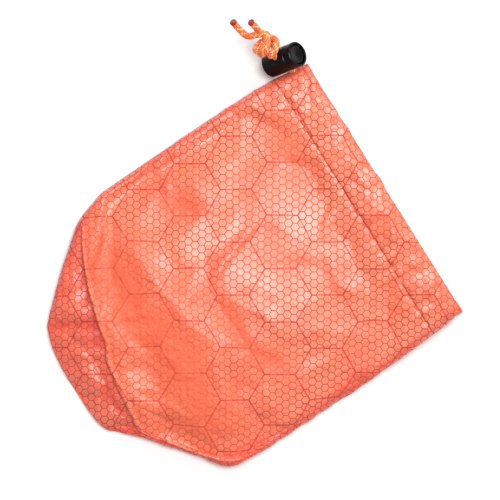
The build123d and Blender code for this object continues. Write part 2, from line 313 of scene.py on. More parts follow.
class Paint:
    """Builds one node material around a Principled shader."""

    def __init__(self, name: str, **shader: float | Colour) -> None:
        """Start a material.

        Args:
            name: The material's name.
            shader: Constants for the shader's own sockets, with _ for each space.
        """
        self.material = bpy.data.materials.new(name)
        self.material.use_nodes = True
        self.tree = self.material.node_tree
        self.shader = self.tree.nodes["Principled BSDF"]
        self.drive(**shader)

    def _put(self, node: bpy.types.Node, key: int | str, value: object) -> None:
        """Set or link one input socket.

        Args:
            node: The node that has the socket.
            key: The socket's place or name.
            value: A number, colour or vector, or the Value to link.
        """
        socket = node.inputs[key]
        if isinstance(value, Value):
            self.tree.links.new(value.socket, socket)
        elif isinstance(value, tuple) and len(value) == 3 and socket.type == "RGBA":
            socket.default_value = (*value, 1.0)
        else:
            socket.default_value = value

    def node(
        self,
        kind: str,
        settings: dict | None = None,
        inputs: dict | None = None,
        out: int | str = 0,
    ) -> Value:
        """Add a node.

        Args:
            kind: The node's type.
            settings: Its own settings, set before its sockets.
            inputs: Values or links of its sockets.
            out: Which output to return.

        Returns:
            The chosen output.
        """
        made = self.tree.nodes.new(kind)
        for key, value in (settings or {}).items():
            setattr(made, key, value)
        for key, value in (inputs or {}).items():
            self._put(made, key, value)
        return Value(self, made.outputs[out])

    def attribute(self, name: str, out: str = "Vector") -> Value:
        """A mesh's own attribute."""
        return self.node("ShaderNodeAttribute", {"attribute_name": name}, out=out)

    def noise(self, where: Value, scale: float, detail: float = 2.0) -> Value:
        """Even noise between nought and one, scale cells to the metre."""
        inputs = {"Vector": where, "Scale": scale, "Detail": detail}
        return self.node("ShaderNodeTexNoise", {}, inputs)

    def mix(
        self, share: "Value | float", first: "Value | Colour", second: "Value | Colour"
    ) -> Value:
        """Blend two colours by share."""
        settings = {"data_type": "RGBA"}
        return self.node("ShaderNodeMix", settings, {0: share, 6: first, 7: second}, out=2)

    def parts(self, vector: Value) -> tuple[Value, Value, Value]:
        """The three numbers of a vector."""
        split = self.node("ShaderNodeSeparateXYZ", {}, {0: vector}).socket.node
        return tuple(Value(self, output) for output in split.outputs)

    def place(self) -> Value:
        """Position in the frame at rest, in metres."""
        return self.node("ShaderNodeTexCoord", out="Object")

    def relief(self, height: Value, distance: float, strength: float = 1.0) -> None:
        """Feed a height to the shader's normal."""
        inputs = {"Height": height, "Distance": distance, "Strength": strength}
        self.drive(Normal=self.node("ShaderNodeBump", {}, inputs))

    def drive(self, **sockets: Value | float | Colour) -> None:
        """Set or link the shader's sockets, with _ for each space."""
        for key, value in sockets.items():
            self._put(self.shader, key.replace("_", " "), value)


@dataclass(frozen=True)
class RipstopFinish:
    """Coated nylon with a fine honeycomb and a wide hexagonal rip-stop grid.

    Each span is the distance over which a line fades, from its core to bare cloth.
    """

    name: str
    cloth: Colour = (0.95, 0.140, 0.064)
    # The pale colour of painted sheen on the cells.
    cell: Colour = (0.98, 0.290, 0.178)
    outline: Colour = (0.24, 0.060, 0.025)
    grid: Colour = (0.62, 0.030, 0.018)
    stitch_line_colour: Colour = (0.42, 0.022, 0.012)
    # Painted shade: the deep red laid along the side edges, the mouth edge, creases and seams.
    painted_shade: Colour = (0.66, 0.035, 0.026)
    wide: float = 22.82 * MM
    fine_in_wide: int = 7
    turn: float = math.radians(-2.1)
    centre: tuple[float, float] = (40.0 * MM, -15.1 * MM)
    twin_gap: float = 0.16 * MM
    wide_span: tuple[float, float] = (0.06 * MM, 0.27 * MM)
    fine_span: tuple[float, float] = (0.10 * MM, 0.30 * MM)
    ring_span: tuple[float, float] = (0.05 * MM, 0.26 * MM)
    stitch_line_span: tuple[float, float] = (0.12 * MM, 0.42 * MM)
    ring_place: float = 0.29
    weave_pitch: float = 0.42 * MM
    patch_noise: tuple[float, float] = (55.0, 3.0)
    wear_noise: tuple[float, float] = (900.0, 2.0)
    crumple_scales: tuple[float, float] = (85.0, 190.0)

    def _edge(self, x: Value, y: Value, pitch: float) -> Value:
        """Distance in from the nearest edge of a honeycomb.

        Args:
            x: Place along a line of cells.
            y: Place across it.
            pitch: Distance between the middles of two cells.

        Returns:
            Nought on an edge, half the pitch in a cell's middle.
        """
        tall = pitch * math.sqrt(3)
        reach = []
        for shift in (0.0, 0.5):
            dx = abs((x + pitch * shift).wrapped(pitch))
            dy = abs((y + tall * shift).wrapped(tall))
            reach.append(dx.most(dx * 0.5 + dy * (math.sqrt(3) / 2)))
        return pitch / 2 - reach[0].least(reach[1])

    def _crumple(self, paint: Paint, place: Value) -> Value:
        """Fine sharp folds of the coating."""
        broad, close = (abs(paint.noise(place, scale) - 0.5) for scale in self.crumple_scales)
        return broad + 0.6 * close

    def material(self) -> bpy.types.Material:
        """Build the cloth's material.

        Returns:
            The material, placed by the attributes "cloth" and "rim".
        """
        paint = Paint(self.name, Specular_IOR_Level=0.35, Coat_Roughness=0.32, Coat_IOR=1.56)
        where = paint.attribute("cloth")
        laid = {"Vector": where, "Location": (*self.centre, 0.0), "Rotation": (0.0, 0.0, self.turn)}
        x, y, _ = paint.parts(paint.node("ShaderNodeMapping", {"vector_type": "TEXTURE"}, laid))
        along, _, bare = paint.parts(where)
        place = paint.place()
        fine = self.wide / self.fine_in_wide
        fine_edge = self._edge(x, y, fine)
        twin = abs(self._edge(x, y, self.wide) - self.twin_gap)
        wide_line = 1 - twin.ramp(*self.wide_span)
        fine_line = 1 - fine_edge.ramp(*self.fine_span)
        ring = 1 - abs(fine_edge - fine * self.ring_place).ramp(*self.ring_span)
        # Darker along the stitch line.
        sewn = 1 - abs(along - STITCH_LINE_MM * MM).ramp(*self.stitch_line_span)
        # Painted light on the print: bare is the share of painted shade at each place, which dims the pale painted
        # sheen of the cells and the lines' contrast; the noise patches are painted highlight; worn is how worn the
        # print is there.
        unshaded = 1 - bare * 0.85
        patch = paint.noise(place, *self.patch_noise).ramp(0.36, 0.66)
        worn = paint.noise(place, *self.wear_noise).ramp(0.3, 0.75)
        shown = unshaded * (0.55 + 0.45 * patch)
        # Colour: pale painted sheen from the cell's middle out to its lines, then a darker line along the stitches and
        # painted shade along edges, creases and seams.
        colour = paint.mix((1 - fine_line) * shown * 0.62, self.cloth, self.cell)
        colour = paint.mix(fine_line * (0.10 + 0.66 * shown), colour, self.outline)
        colour = paint.mix(ring * shown * (0.10 + 0.12 * worn), colour, self.outline)
        colour = paint.mix(wide_line * (0.34 + 0.40 * unshaded), colour, self.grid)
        colour = paint.mix(sewn * 0.55, colour, self.stitch_line_colour)
        # Painted shade along the edges, creases and seams.
        colour = paint.mix(paint.attribute("rim", "Fac") * 0.62, colour, self.painted_shade)
        paint.drive(
            Base_Color=colour,
            Roughness=0.50 + 0.18 * fine_line + 0.08 * worn,
            Coat_Weight=(1 - fine_line) * (1 - wide_line * 0.7) * unshaded * (0.5 + 0.5 * patch),
        )
        # Height in millimetres: domed cells, folds of the coating, weave and sunken lines.
        twist = FULL_TURN / self.weave_pitch
        weave = (x * twist).wave() * (y * twist).wave()
        dome = fine_edge.ramp(0.0, fine * 0.45) * 0.07
        height = dome - self._crumple(paint, place) * 2.6 + weave * 0.012
        paint.relief(height - wide_line * 0.10 - sewn * 0.35, 1.0 * MM, 0.9)
        return paint.material


@dataclass(frozen=True)
class ThreadFinish:
    """Polyester thread with a fine twist."""

    name: str
    colour: Colour = (0.62, 0.10, 0.055)
    light: Colour = (0.80, 0.17, 0.10)

    def material(self) -> bpy.types.Material:
        """Build the thread's material.

        Returns:
            The material.
        """
        paint = Paint(self.name, Roughness=0.6)
        fibre = paint.noise(paint.place(), 4200.0)
        paint.drive(Base_Color=paint.mix(fibre.ramp(0.3, 0.7), self.colour, self.light))
        paint.relief(fibre, 0.08 * MM, 0.6)
        return paint.material


@dataclass(frozen=True)
class CordFinish:
    """Braided cord with pale flecks and painted shade between the yarns, from the strands' own braid attribute."""

    name: str
    body: Colour = (0.95, 0.170, 0.030)
    fleck: Colour = (1.0, 0.66, 0.26)
    shade: Colour = (0.60, 0.045, 0.010)

    def material(self) -> bpy.types.Material:
        """Build the cord's material.

        Returns:
            The material.
        """
        paint = Paint(self.name, Roughness=0.5, Sheen_Weight=0.25)
        height, fleck, _ = paint.parts(paint.attribute("braid"))
        fibre = paint.noise(paint.place(), 3500.0)
        # Painted shade: darker where the braid sinks between the yarns.
        colour = paint.mix(height.ramp(0.0, 0.7), self.shade, self.body)
        colour = paint.mix(fleck * height.ramp(0.25, 0.8), colour, self.fleck)
        paint.drive(Base_Color=paint.mix(fibre.ramp(0.5, 0.8) * 0.25, colour, self.shade))
        paint.relief(fibre, 0.10 * MM, 0.5)
        return paint.material


@dataclass(frozen=True)
class MeltedFinish:
    """Cord fibre melted to a dark glassy bead."""

    name: str
    dark: Colour = (0.22, 0.012, 0.006)
    light: Colour = (0.62, 0.05, 0.015)

    def material(self) -> bpy.types.Material:
        """Build the melted end's material.

        Returns:
            The material.
        """
        paint = Paint(self.name)
        lumps = paint.noise(paint.place(), 1400.0, 3.0)
        colour = paint.mix(lumps.ramp(0.35, 0.7), self.dark, self.light)
        paint.drive(Base_Color=colour, Roughness=0.25 + 0.3 * lumps)
        paint.relief(lumps, 0.25 * MM, 0.7)
        return paint.material


@dataclass(frozen=True)
class LockPlasticFinish:
    """Black moulded acetal, satin with a faint grain and fine scuffs."""

    name: str
    black: Colour = (0.0025, 0.0025, 0.003)
    scuffed: Colour = (0.009, 0.009, 0.010)

    def material(self) -> bpy.types.Material:
        """Build the plastic's material.

        Returns:
            The material.
        """
        paint = Paint(self.name, Specular_IOR_Level=0.13, Coat_Weight=0.06, Coat_Roughness=0.12)
        place = paint.place()
        grain = paint.noise(place, 5200.0)
        scuff = paint.noise(place, 420.0, 4.0).ramp(0.52, 0.72)
        colour = paint.mix(scuff, self.black, self.scuffed)
        paint.drive(Base_Color=colour, Roughness=0.24 + 0.14 * scuff + 0.08 * grain)
        paint.relief(grain, 0.04 * MM, 0.35)
        return paint.material


@dataclass(frozen=True)
class SpringSteelFinish:
    """Drawn spring wire."""

    name: str
    dull: Colour = (0.42, 0.42, 0.44)
    bright: Colour = (0.62, 0.62, 0.63)

    def material(self) -> bpy.types.Material:
        """Build the wire's material.

        Returns:
            The material.
        """
        paint = Paint(self.name, Metallic=1.0)
        drawn = paint.noise(paint.place(), 2600.0)
        colour = paint.mix(drawn, self.dull, self.bright)
        paint.drive(Base_Color=colour, Roughness=0.22 + 0.2 * drawn)
        return paint.material


@dataclass(frozen=True)
class FloorFinish:
    """Plain pale floor."""

    name: str

    def material(self) -> bpy.types.Material:
        """Build the floor's material."""
        return Paint(self.name, Base_Color=(0.93, 0.93, 0.93), Roughness=0.9).material


# ---- mesh helpers ----
def new_object(name: str, mesh: bpy.types.Mesh) -> bpy.types.Object:
    """Put a mesh in the scene under one name.

    Args:
        name: Name of the piece.
        mesh: Its mesh.

    Returns:
        The new object.
    """
    piece = bpy.data.objects.new(name, mesh)
    bpy.context.scene.collection.objects.link(piece)
    return piece


def mesh_of(name: str, points: np.ndarray, faces: Iterable[Sequence[int]]) -> bpy.types.Mesh:
    """Make a smooth mesh.

    Args:
        name: Name of the mesh.
        points: Places in metres.
        faces: Faces over those points.

    Returns:
        The mesh.
    """
    mesh = bpy.data.meshes.new(name)
    mesh.from_pydata([tuple(map(float, p)) for p in points], [], [tuple(f) for f in faces])
    mesh.update()
    mesh.shade_smooth()
    return mesh


def grid_faces(rows: int, columns: int) -> list[tuple[int, ...]]:
    """Cover a grid of points, row after row, open on every side.

    Args:
        rows: Number of rows.
        columns: Points in each row.

    Returns:
        The faces.
    """
    return [
        (i * columns + j, i * columns + j + 1, (i + 1) * columns + j + 1, (i + 1) * columns + j)
        for i in range(rows - 1)
        for j in range(columns - 1)
    ]


def tube_faces(rings: int, sides: int, first: int = 0) -> list[tuple[int, ...]]:
    """Cover rings of points, closed at both ends.

    Args:
        rings: Number of rings.
        sides: Points in each ring.
        first: Index of the first point.

    Returns:
        The faces.
    """
    faces = []
    for ring in range(rings - 1):
        for side in range(sides):
            a = first + ring * sides + side
            b = first + ring * sides + (side + 1) % sides
            faces.append((a, b, b + sides, a + sides))
    last = first + (rings - 1) * sides
    faces.append(tuple(first + side for side in reversed(range(sides))))
    faces.append(tuple(last + side for side in range(sides)))
    return faces


def unit(vectors: np.ndarray) -> np.ndarray:
    """The same ways with a length of one."""
    return vectors / np.linalg.norm(vectors, axis=-1, keepdims=True)


def lengths_to(line: np.ndarray) -> np.ndarray:
    """Distance from a line's start to each of its points."""
    return np.concatenate([[0], np.cumsum(np.linalg.norm(np.diff(line, axis=0), axis=1))])


def sample(marks: np.ndarray | float, step: np.ndarray, values: np.ndarray) -> np.ndarray:
    """Read vectors off a line.

    Args:
        marks: Distances from the line's start.
        step: Distance of each point of the line.
        values: One vector per point.

    Returns:
        The vector at each mark.
    """
    return np.stack([np.interp(marks, step, values[:, k]) for k in range(3)], -1)


def store(mesh: bpy.types.Mesh, name: str, values: np.ndarray) -> None:
    """Keep one vector per point as a named attribute."""
    layer = mesh.attributes.new(name, "FLOAT_VECTOR", "POINT")
    layer.data.foreach_set("vector", np.asarray(values, dtype=np.float32).ravel())


def add_modifier(piece: bpy.types.Object, kind: str, **settings: object) -> None:
    """Add a modifier.

    Args:
        piece: The piece that it shapes.
        kind: The modifier's type.
        settings: Its settings.
    """
    made = piece.modifiers.new(kind.title(), kind)
    for key, value in settings.items():
        setattr(made, key, value)


def dress(piece: bpy.types.Object, part: Part, slot: Slot, material: bpy.types.Material) -> None:
    """Give a new piece its body and its finish.

    Args:
        piece: The piece.
        part: The body that it rides on.
        slot: Its slot in the record.
        material: Its material.
    """
    piece.data.materials.clear()
    piece.data.materials.append(material)
    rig.ride(piece, part.value)
    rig.slot(piece, slot.value)


def redress(node: str, material: bpy.types.Material) -> None:
    """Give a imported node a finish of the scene's own."""
    for slot in frame["nodes"][node].material_slots:
        slot.material = material


def bell(distance: np.ndarray, width: float) -> np.ndarray:
    """One at no distance, falling smoothly to nought beyond width."""
    return np.exp(-((distance / width) ** 2))


def crest(distance: np.ndarray, width: float) -> np.ndarray:
    """Like a bell, but with a sharp top and near-flat sides, as folded cloth has."""
    sharp = 0.12 * width
    return np.exp(-((np.sqrt(distance**2 + sharp**2) - sharp) / (0.62 * width)) ** 1.15)


def ripple(x: np.ndarray, y: np.ndarray, scale: float, seed: float) -> np.ndarray:
    """Smooth noise between about -1 and 1, in cells of scale millimetres."""
    flat = [noise.noise(Vector((a / scale, b / scale, seed))) for a, b in zip(x.flat, y.flat)]
    return np.array(flat).reshape(x.shape)


# ---- folds of the cloth, in millimetres ----
@dataclass(frozen=True)
class Crease:
    """A soft ridge, or a valley where height is negative, along a bent line in plan."""

    line: tuple[tuple[float, float], ...]
    width: float
    height: float
    lean: float = 0.0

    def lift(self, x: np.ndarray, y: np.ndarray) -> np.ndarray:
        """Raise the cloth near the line, less towards the line's ends.

        Args:
            x: Places along the sack.
            y: Places across it.

        Returns:
            Height that the crease adds at each place.
        """
        best = np.full(x.shape, np.inf)
        side = np.zeros(x.shape)
        along = np.zeros(x.shape)
        count = len(self.line) - 1
        for index, ((ax, ay), (bx, by)) in enumerate(zip(self.line, self.line[1:])):
            dx, dy = bx - ax, by - ay
            length = math.hypot(dx, dy)
            t = np.clip(((x - ax) * dx + (y - ay) * dy) / length**2, 0, 1)
            off = np.hypot(x - ax - t * dx, y - ay - t * dy)
            nearer = off < best
            across = ((y - ay) * dx - (x - ax) * dy) / length
            best = np.where(nearer, off, best)
            side = np.where(nearer, across, side)
            along = np.where(nearer, (index + t) / count, along)
        taper = np.sin(np.clip(along * 0.84 + 0.08, 0, 1) * math.pi) ** 0.7
        one_sided = 1 + self.lean * np.tanh(side / self.width)
        return self.height * crest(best, self.width) * taper * one_sided


# Folds of the body's upper layer.
BODY_CREASES = (
    Crease(((-38, 58), (-28, 37), (-26, 11), (-18, -17), (-27, -39), (-40, -64)), 7.0, 1.5, 0.2),
    Crease(((25, 18), (4, 11), (-6, 5)), 3.2, 1.5, -0.7),
    Crease(((0, 20), (-8, 3), (-7, -24), (6, -50)), 4.0, -1.2, 0.5),
    Crease(((-16, -16), (-22, -43), (-14, -64)), 3.5, -1.0, -0.5),
    Crease(((-6, 56), (2, 40), (16, 30)), 3.6, -1.3, 0.6),
    Crease(((2, 62), (-1, 47)), 2.4, 0.9, 0.6),
    Crease(((12, 56), (10, 44)), 4.0, 0.8),
    Crease(((-24, 12), (-9, 1)), 4.5, 0.9),
    Crease(((-26, 50), (-12, 36), (-16, 18)), 4.5, -0.9, 0.4),
    Crease(((30, -40), (12, -30), (6, -12)), 5.0, 0.9, 0.3),
    Crease(((52, -36), (40, -26), (44, -8)), 5.5, 0.8, -0.3),
    Crease(((50, 32), (36, 44), (30, 60)), 4.0, -0.7, 0.4),
    Crease(((20, 2), (36, -12), (38, -30)), 5.0, -0.6, 0.2),
    Crease(((-50, 22), (-44, -6), (-52, -30)), 5.0, -0.6),
    Crease(((-12, -38), (-10, -52)), 3.0, 0.8, 0.4),
    Crease(((66, 60), (67, 48), (73, 38)), 1.9, 0.9, 0.4),
    Crease(((75, 58), (72, 50), (75, 37)), 1.6, -0.8, 0.3),
    Crease(((66, 30), (74, 24)), 2.0, 0.7),
    Crease(((68, 12), (73, 2), (70, -12)), 2.2, -0.7, 0.4),
    Crease(((76, -8), (70, -22)), 1.8, 0.8),
    Crease(((66, -30), (73, -38), (70, -50)), 2.0, -0.7, -0.4),
    Crease(((77, -48), (68, -57)), 1.8, 0.8),
    Crease(((60, 44), (50, 38)), 2.6, 0.6, 0.2),
    Crease(((60, 8), (50, 2)), 2.6, 0.5, -0.2),
    Crease(((62, -24), (52, -34)), 2.6, 0.6, 0.2),
)
# Painted shade: patches where the painted sheen of the cells and the contrast of the lines are dimmed; the height is
# the share that is dimmed.
SHADED_PATCHES = (
    Crease(((-36, 60), (-40, 34), (-42, 8), (-34, -10), (-36, -30), (-44, -60)), 20.0, 1.3),
    Crease(((-4, 46), (8, 36)), 8.0, 0.8),
    Crease(((-6, 4), (-6, -25), (6, -52)), 7.0, 0.8),
    Crease(((26, 8), (34, -14)), 9.0, 0.7),
    Crease(((58, 40), (46, 20)), 6.0, 0.5),
)
# Painted shade along creases, laid into the colour; the height is the tint's share.
BODY_SHADE_LINES = (
    Crease(((26, 18), (4, 12), (-6, 8)), 3.0, 0.35),
    Crease(((-3, 0), (-7, -24), (6, -50)), 3.4, 0.32),
    Crease(((-15, -18), (-22, -43), (-14, -64)), 3.0, 0.30),
    Crease(((-4, 54), (2, 40), (14, 30)), 3.2, 0.32),
    Crease(((-3, 48), (6, 62)), 1.8, 0.35),
    Crease(((63, 64), (66, 48)), 1.4, 0.35),
    Crease(((70, 64), (74, 50), (76, 36)), 1.5, 0.40),
    Crease(((72, 12), (71, -14)), 1.8, 0.30),
    Crease(((66, -30), (71, -52)), 1.6, 0.32),
)
# Painted shade on the base: along its creases and beside the seam, where the seam's shadow falls.
BASE_SHADE_LINES = (
    Crease(((-84, 30), (-70, 24.6), (-56, 18)), 1.7, 1.0),
    Crease(((-38, 59), (-53, 32), (-58.6, 14), (-60, 6)), 2.6, 0.8),
    Crease(((-62, 20), (-61, 6)), 4.0, 0.6),
    Crease(((-65, 0), (-67.6, -12), (-69, -30)), 2.6, 0.9),
    Crease(((-80, -22), (-66, -31)), 1.5, 1.0),
    Crease(((-74, -30), (-58, -46), (-38, -67)), 5.0, 0.9),
)
# Folds of the base.
BASE_CREASES = (
    Crease(((-79, 29), (-68, 24), (-56, 17)), 2.6, -2.4, 0.5),
    Crease(((-76, 36), (-66, 33), (-56, 34)), 2.4, 1.2, -0.4),
    Crease(((-58, 50), (-52, 44)), 2.2, -1.2, 0.3),
    Crease(((-80, 14), (-70, 11), (-60, 4)), 3.2, 1.5, -0.5),
    Crease(((-70, 20), (-66, 6), (-68, -8)), 2.4, -1.3, 0.4),
    Crease(((-82, -4), (-72, -10), (-64, -8)), 2.6, -1.5, 0.4),
    Crease(((-80, -16), (-72, -18), (-68, -26)), 2.4, 1.5, -0.4),
    Crease(((-80, -26), (-72, -25), (-66, -31)), 1.8, -1.4, 0.2),
)


@dataclass
class SackForm:
    """Where the flattened sack's cloth lies before it is creased, in millimetres."""

    # Place along the sack, low and high edge, height and side round.
    rows: tuple[tuple[float, float, float, float, float], ...] = (
        (-80.0, -12.0, 10.0, 2.4, 1.0),
        (-79.0, -19.5, 17.5, 3.2, 1.2),
        (-77.4, -23.6, 23.5, 4.4, 1.4),
        (-75.6, -25.6, 28.2, 6.0, 1.6),
        (-72.0, -29.0, 32.0, 8.4, 2.0),
        (-66.6, -34.2, 37.0, 11.0, 2.4),
        (-60.0, -42.4, 43.2, 13.2, 2.8),
        (-50.0, -54.6, 51.4, 15.6, 3.2),
        (-42.0, -65.0, 58.0, 18.0, 3.6),
        (-37.0, -66.5, 60.6, 19.4, 3.9),
        (-25.4, -66.6, 64.4, 21.4, 4.3),
        (0.0, -65.9, 65.4, 20.2, 4.6),
        (30.0, -65.0, 66.4, 18.6, 5.2),
        (55.0, -63.8, 66.6, 17.2, 5.6),
        (64.0, -63.4, 66.2, 17.0, 5.8),
        (72.0, -62.6, 65.4, 18.2, 5.8),
        (80.0, -61.8, 64.4, 17.2, 5.8),
    )
    # The base seam over the top: place across the sack, and place along it.
    seam_over: tuple[tuple[float, float], ...] = (
        (-66.4, -38.4), (-62.0, -41.0), (-55.0, -46.6), (-47.0, -53.4), (-40.0, -59.4),
        (-36.0, -63.4), (-32.0, -66.2), (-28.0, -65.7), (-8.0, -63.2), (3.0, -61.4),
        (6.5, -58.6), (9.0, -57.6), (14.7, -56.7), (32.0, -51.9), (45.0, -46.5),
        (50.0, -44.0), (57.0, -39.6), (62.0, -37.6),
    )
    # The base seam underneath: share of the way round, and place along the sack.
    seam_under: tuple[tuple[float, float], ...] = (
        (0.50, -38.4), (0.56, -33.0), (0.64, -27.0), (0.72, -24.4), (0.80, -24.4),
        (0.90, -28.6), (1.00, -38.2),
    )
    columns: int = 169
    table_step: float = 0.5
    round_steps: int = 14
    top_steps: int = 60
    table_x: np.ndarray = field(init=False)
    table_y: np.ndarray = field(init=False)
    table_z: np.ndarray = field(init=False)
    girth: np.ndarray = field(init=False)
    shares: np.ndarray = field(init=False)

    def __post_init__(self) -> None:
        """Work out the section at each table step, evenly spaced round."""
        self.shares = np.linspace(0, 1, self.columns)
        self.table_x = np.arange(-MOUTH_MM, MOUTH_MM + 0.01, self.table_step)
        found = [self._section(*self._row_at(x)) for x in self.table_x]
        self.table_y, self.table_z, self.girth = (np.array(values) for values in zip(*found))

    @property
    def half(self) -> int:
        """The column opposite the first, half the way round."""
        return self.columns // 2

    def upper(self) -> np.ndarray:
        """How far each column lies on the upper layer, from 0 to 1."""
        return np.clip(np.minimum(self.shares, 0.5 - self.shares) / 0.05, 0, 1)

    def _row_at(self, x: float) -> tuple[float, ...]:
        """Edges, height and side round at x."""
        at = [r[0] for r in self.rows]
        return tuple(float(np.interp(x, at, [r[k] for r in self.rows])) for k in range(1, 5))

    def _section(
        self, low: float, high: float, height: float, side: float
    ) -> tuple[np.ndarray, np.ndarray, float]:
        """Draw one section: flat under, bowed over, with round sides.

        Args:
            low: The side away from the lock.
            high: The side of the lock.
            height: Height in the middle.
            side: Radius of the round sides.

        Returns:
            Y and Z of points evenly round, from the lock side over the top, and the girth.
        """
        middle, reach = (low + high) / 2, (high - low) / 2 - side
        radius = (reach**2 + (height - side) ** 2 - side**2) / (2 * (height - 2 * side))
        tilt = math.asin(reach / (radius - side))
        up = np.linspace(0, math.pi / 2 - tilt + 1e-6, self.round_steps)
        over = np.linspace(tilt, -tilt, self.top_steps)
        down = np.linspace(-math.pi / 2, 0, self.round_steps)
        right_y, right_z = reach + side * np.cos(up), side + side * np.sin(up)
        top_y = radius * np.sin(over)
        top_z = height - radius + radius * np.cos(over)
        under_y, under_z = reach + side * np.cos(down), side + side * np.sin(down)
        y = np.concatenate([right_y, top_y, -right_y[::-1], -under_y[::-1], under_y])
        z = np.concatenate([right_z, top_z, right_z[::-1], under_z[::-1], under_z])
        step = np.concatenate([[0], np.cumsum(np.hypot(np.diff(y), np.diff(z)))])
        share = step / step[-1]
        return (
            middle + np.interp(self.shares, share, y),
            np.interp(self.shares, share, z),
            float(step[-1]),
        )

    def at(self, x: np.ndarray) -> tuple[np.ndarray, np.ndarray, np.ndarray]:
        """Find the cloth at one place along the sack per column.

        Args:
            x: Place along the sack for each column.

        Returns:
            Y, Z and the place round the cloth, measured flat.
        """
        index = np.clip((x + MOUTH_MM) / self.table_step, 0, len(self.table_x) - 1.001)
        low = index.astype(int)
        part = index - low
        column = np.arange(self.columns)
        y = self.table_y[low, column] * (1 - part) + self.table_y[low + 1, column] * part
        z = self.table_z[low, column] * (1 - part) + self.table_z[low + 1, column] * part
        girth = self.girth[low] * (1 - part) + self.girth[low + 1] * part
        middle = (self.table_y[low, 0] + self.table_y[low, self.half]) / 2
        return y, z, middle - (self.shares - 0.25) * girth

    def seam_x(self) -> np.ndarray:
        """Find where each column meets the base seam.

        Returns:
            Place of the seam along the sack for each column.
        """
        across, over = zip(*self.seam_over)
        share, under = zip(*self.seam_under)
        past = self.table_x[:, None] - np.interp(self.table_y, across, over)
        low = np.abs(past[:-1] + past[1:]).argmin(axis=0)
        column = np.arange(self.columns)
        before, after = past[low, column], past[low + 1, column]
        part = np.clip(-before / (after - before), 0, 1)
        place = self.table_x[low] + self.table_step * part
        place = np.where(self.shares <= 0.5, place, np.interp(self.shares, share, under))
        return np.convolve(np.pad(place, 1, mode="edge"), (0.25, 0.5, 0.25), mode="valid")


@dataclass(frozen=True)
class Settling:
    """How slack cloth settles about the form that holds it."""

    growth: float = 0.022
    frames: int = 22
    enlarged: float = 10.0
    quality: int = 6
    mass: float = 0.15
    stretch: float = 18.0
    shear: float = 8.0
    bending: float = 0.35
    damping: float = 3.0
    gravity: float = 0.1

    def settle(self, name: str, points: np.ndarray, faces: list, hold: np.ndarray) -> np.ndarray:
        """Let the cloth fall for a number of frames.

        Args:
            name: Name for the passing object.
            points: Places in metres.
            faces: Faces over those points.
            hold: How firmly each point stays, from 0 to 1.

        Returns:
            The settled places in metres.
        """
        piece = new_object(name, mesh_of(name, points * self.enlarged, faces))
        group = piece.vertex_groups.new(name="hold")
        for index, weight in enumerate(hold.ravel()):
            group.add([index], float(weight), "REPLACE")
        cloth = piece.modifiers.new("Cloth", "CLOTH")
        settings = cloth.settings
        settings.quality = self.quality
        settings.mass = self.mass
        settings.tension_stiffness = self.stretch
        settings.compression_stiffness = self.stretch
        settings.shear_stiffness = self.shear
        settings.bending_stiffness = self.bending
        settings.air_damping = self.damping
        settings.vertex_group_mass = group.name
        settings.pin_stiffness = 1.0
        settings.shrink_min = -self.growth
        settings.effector_weights.gravity = self.gravity
        cloth.collision_settings.use_collision = False
        cloth.point_cache.frame_start = 1
        cloth.point_cache.frame_end = self.frames
        scene = bpy.context.scene
        for number in range(1, self.frames + 1):
            scene.frame_set(number)
        graph = bpy.context.evaluated_depsgraph_get()
        settled = piece.evaluated_get(graph).to_mesh()
        found = np.empty(points.size)
        settled.vertices.foreach_get("co", found)
        piece.evaluated_get(graph).to_mesh_clear()
        bpy.data.objects.remove(piece)
        scene.frame_set(1)
        return found.reshape(-1, 3) / self.enlarged


# Weights that hold cloth while it settles, from free to sewn down.
LOOSE, CHANNEL, BASE_LOOSE, BY_STITCHES, BY_SEAM = 0.035, 0.12, 0.3, 0.35, 0.5
RESTING, FIRM, SEWN = 0.8, 0.9, 1.0
# Rows and columns of the body's outer grid: along the base seam, and along the side seam.
SEAM_ROWS = slice(-7, -1)
SEAM_ROW = -5
SIDE_ROWS = slice(18, -10)
SIDE_COLUMNS = slice(-7, -1)
SIDE_COLUMN = -5


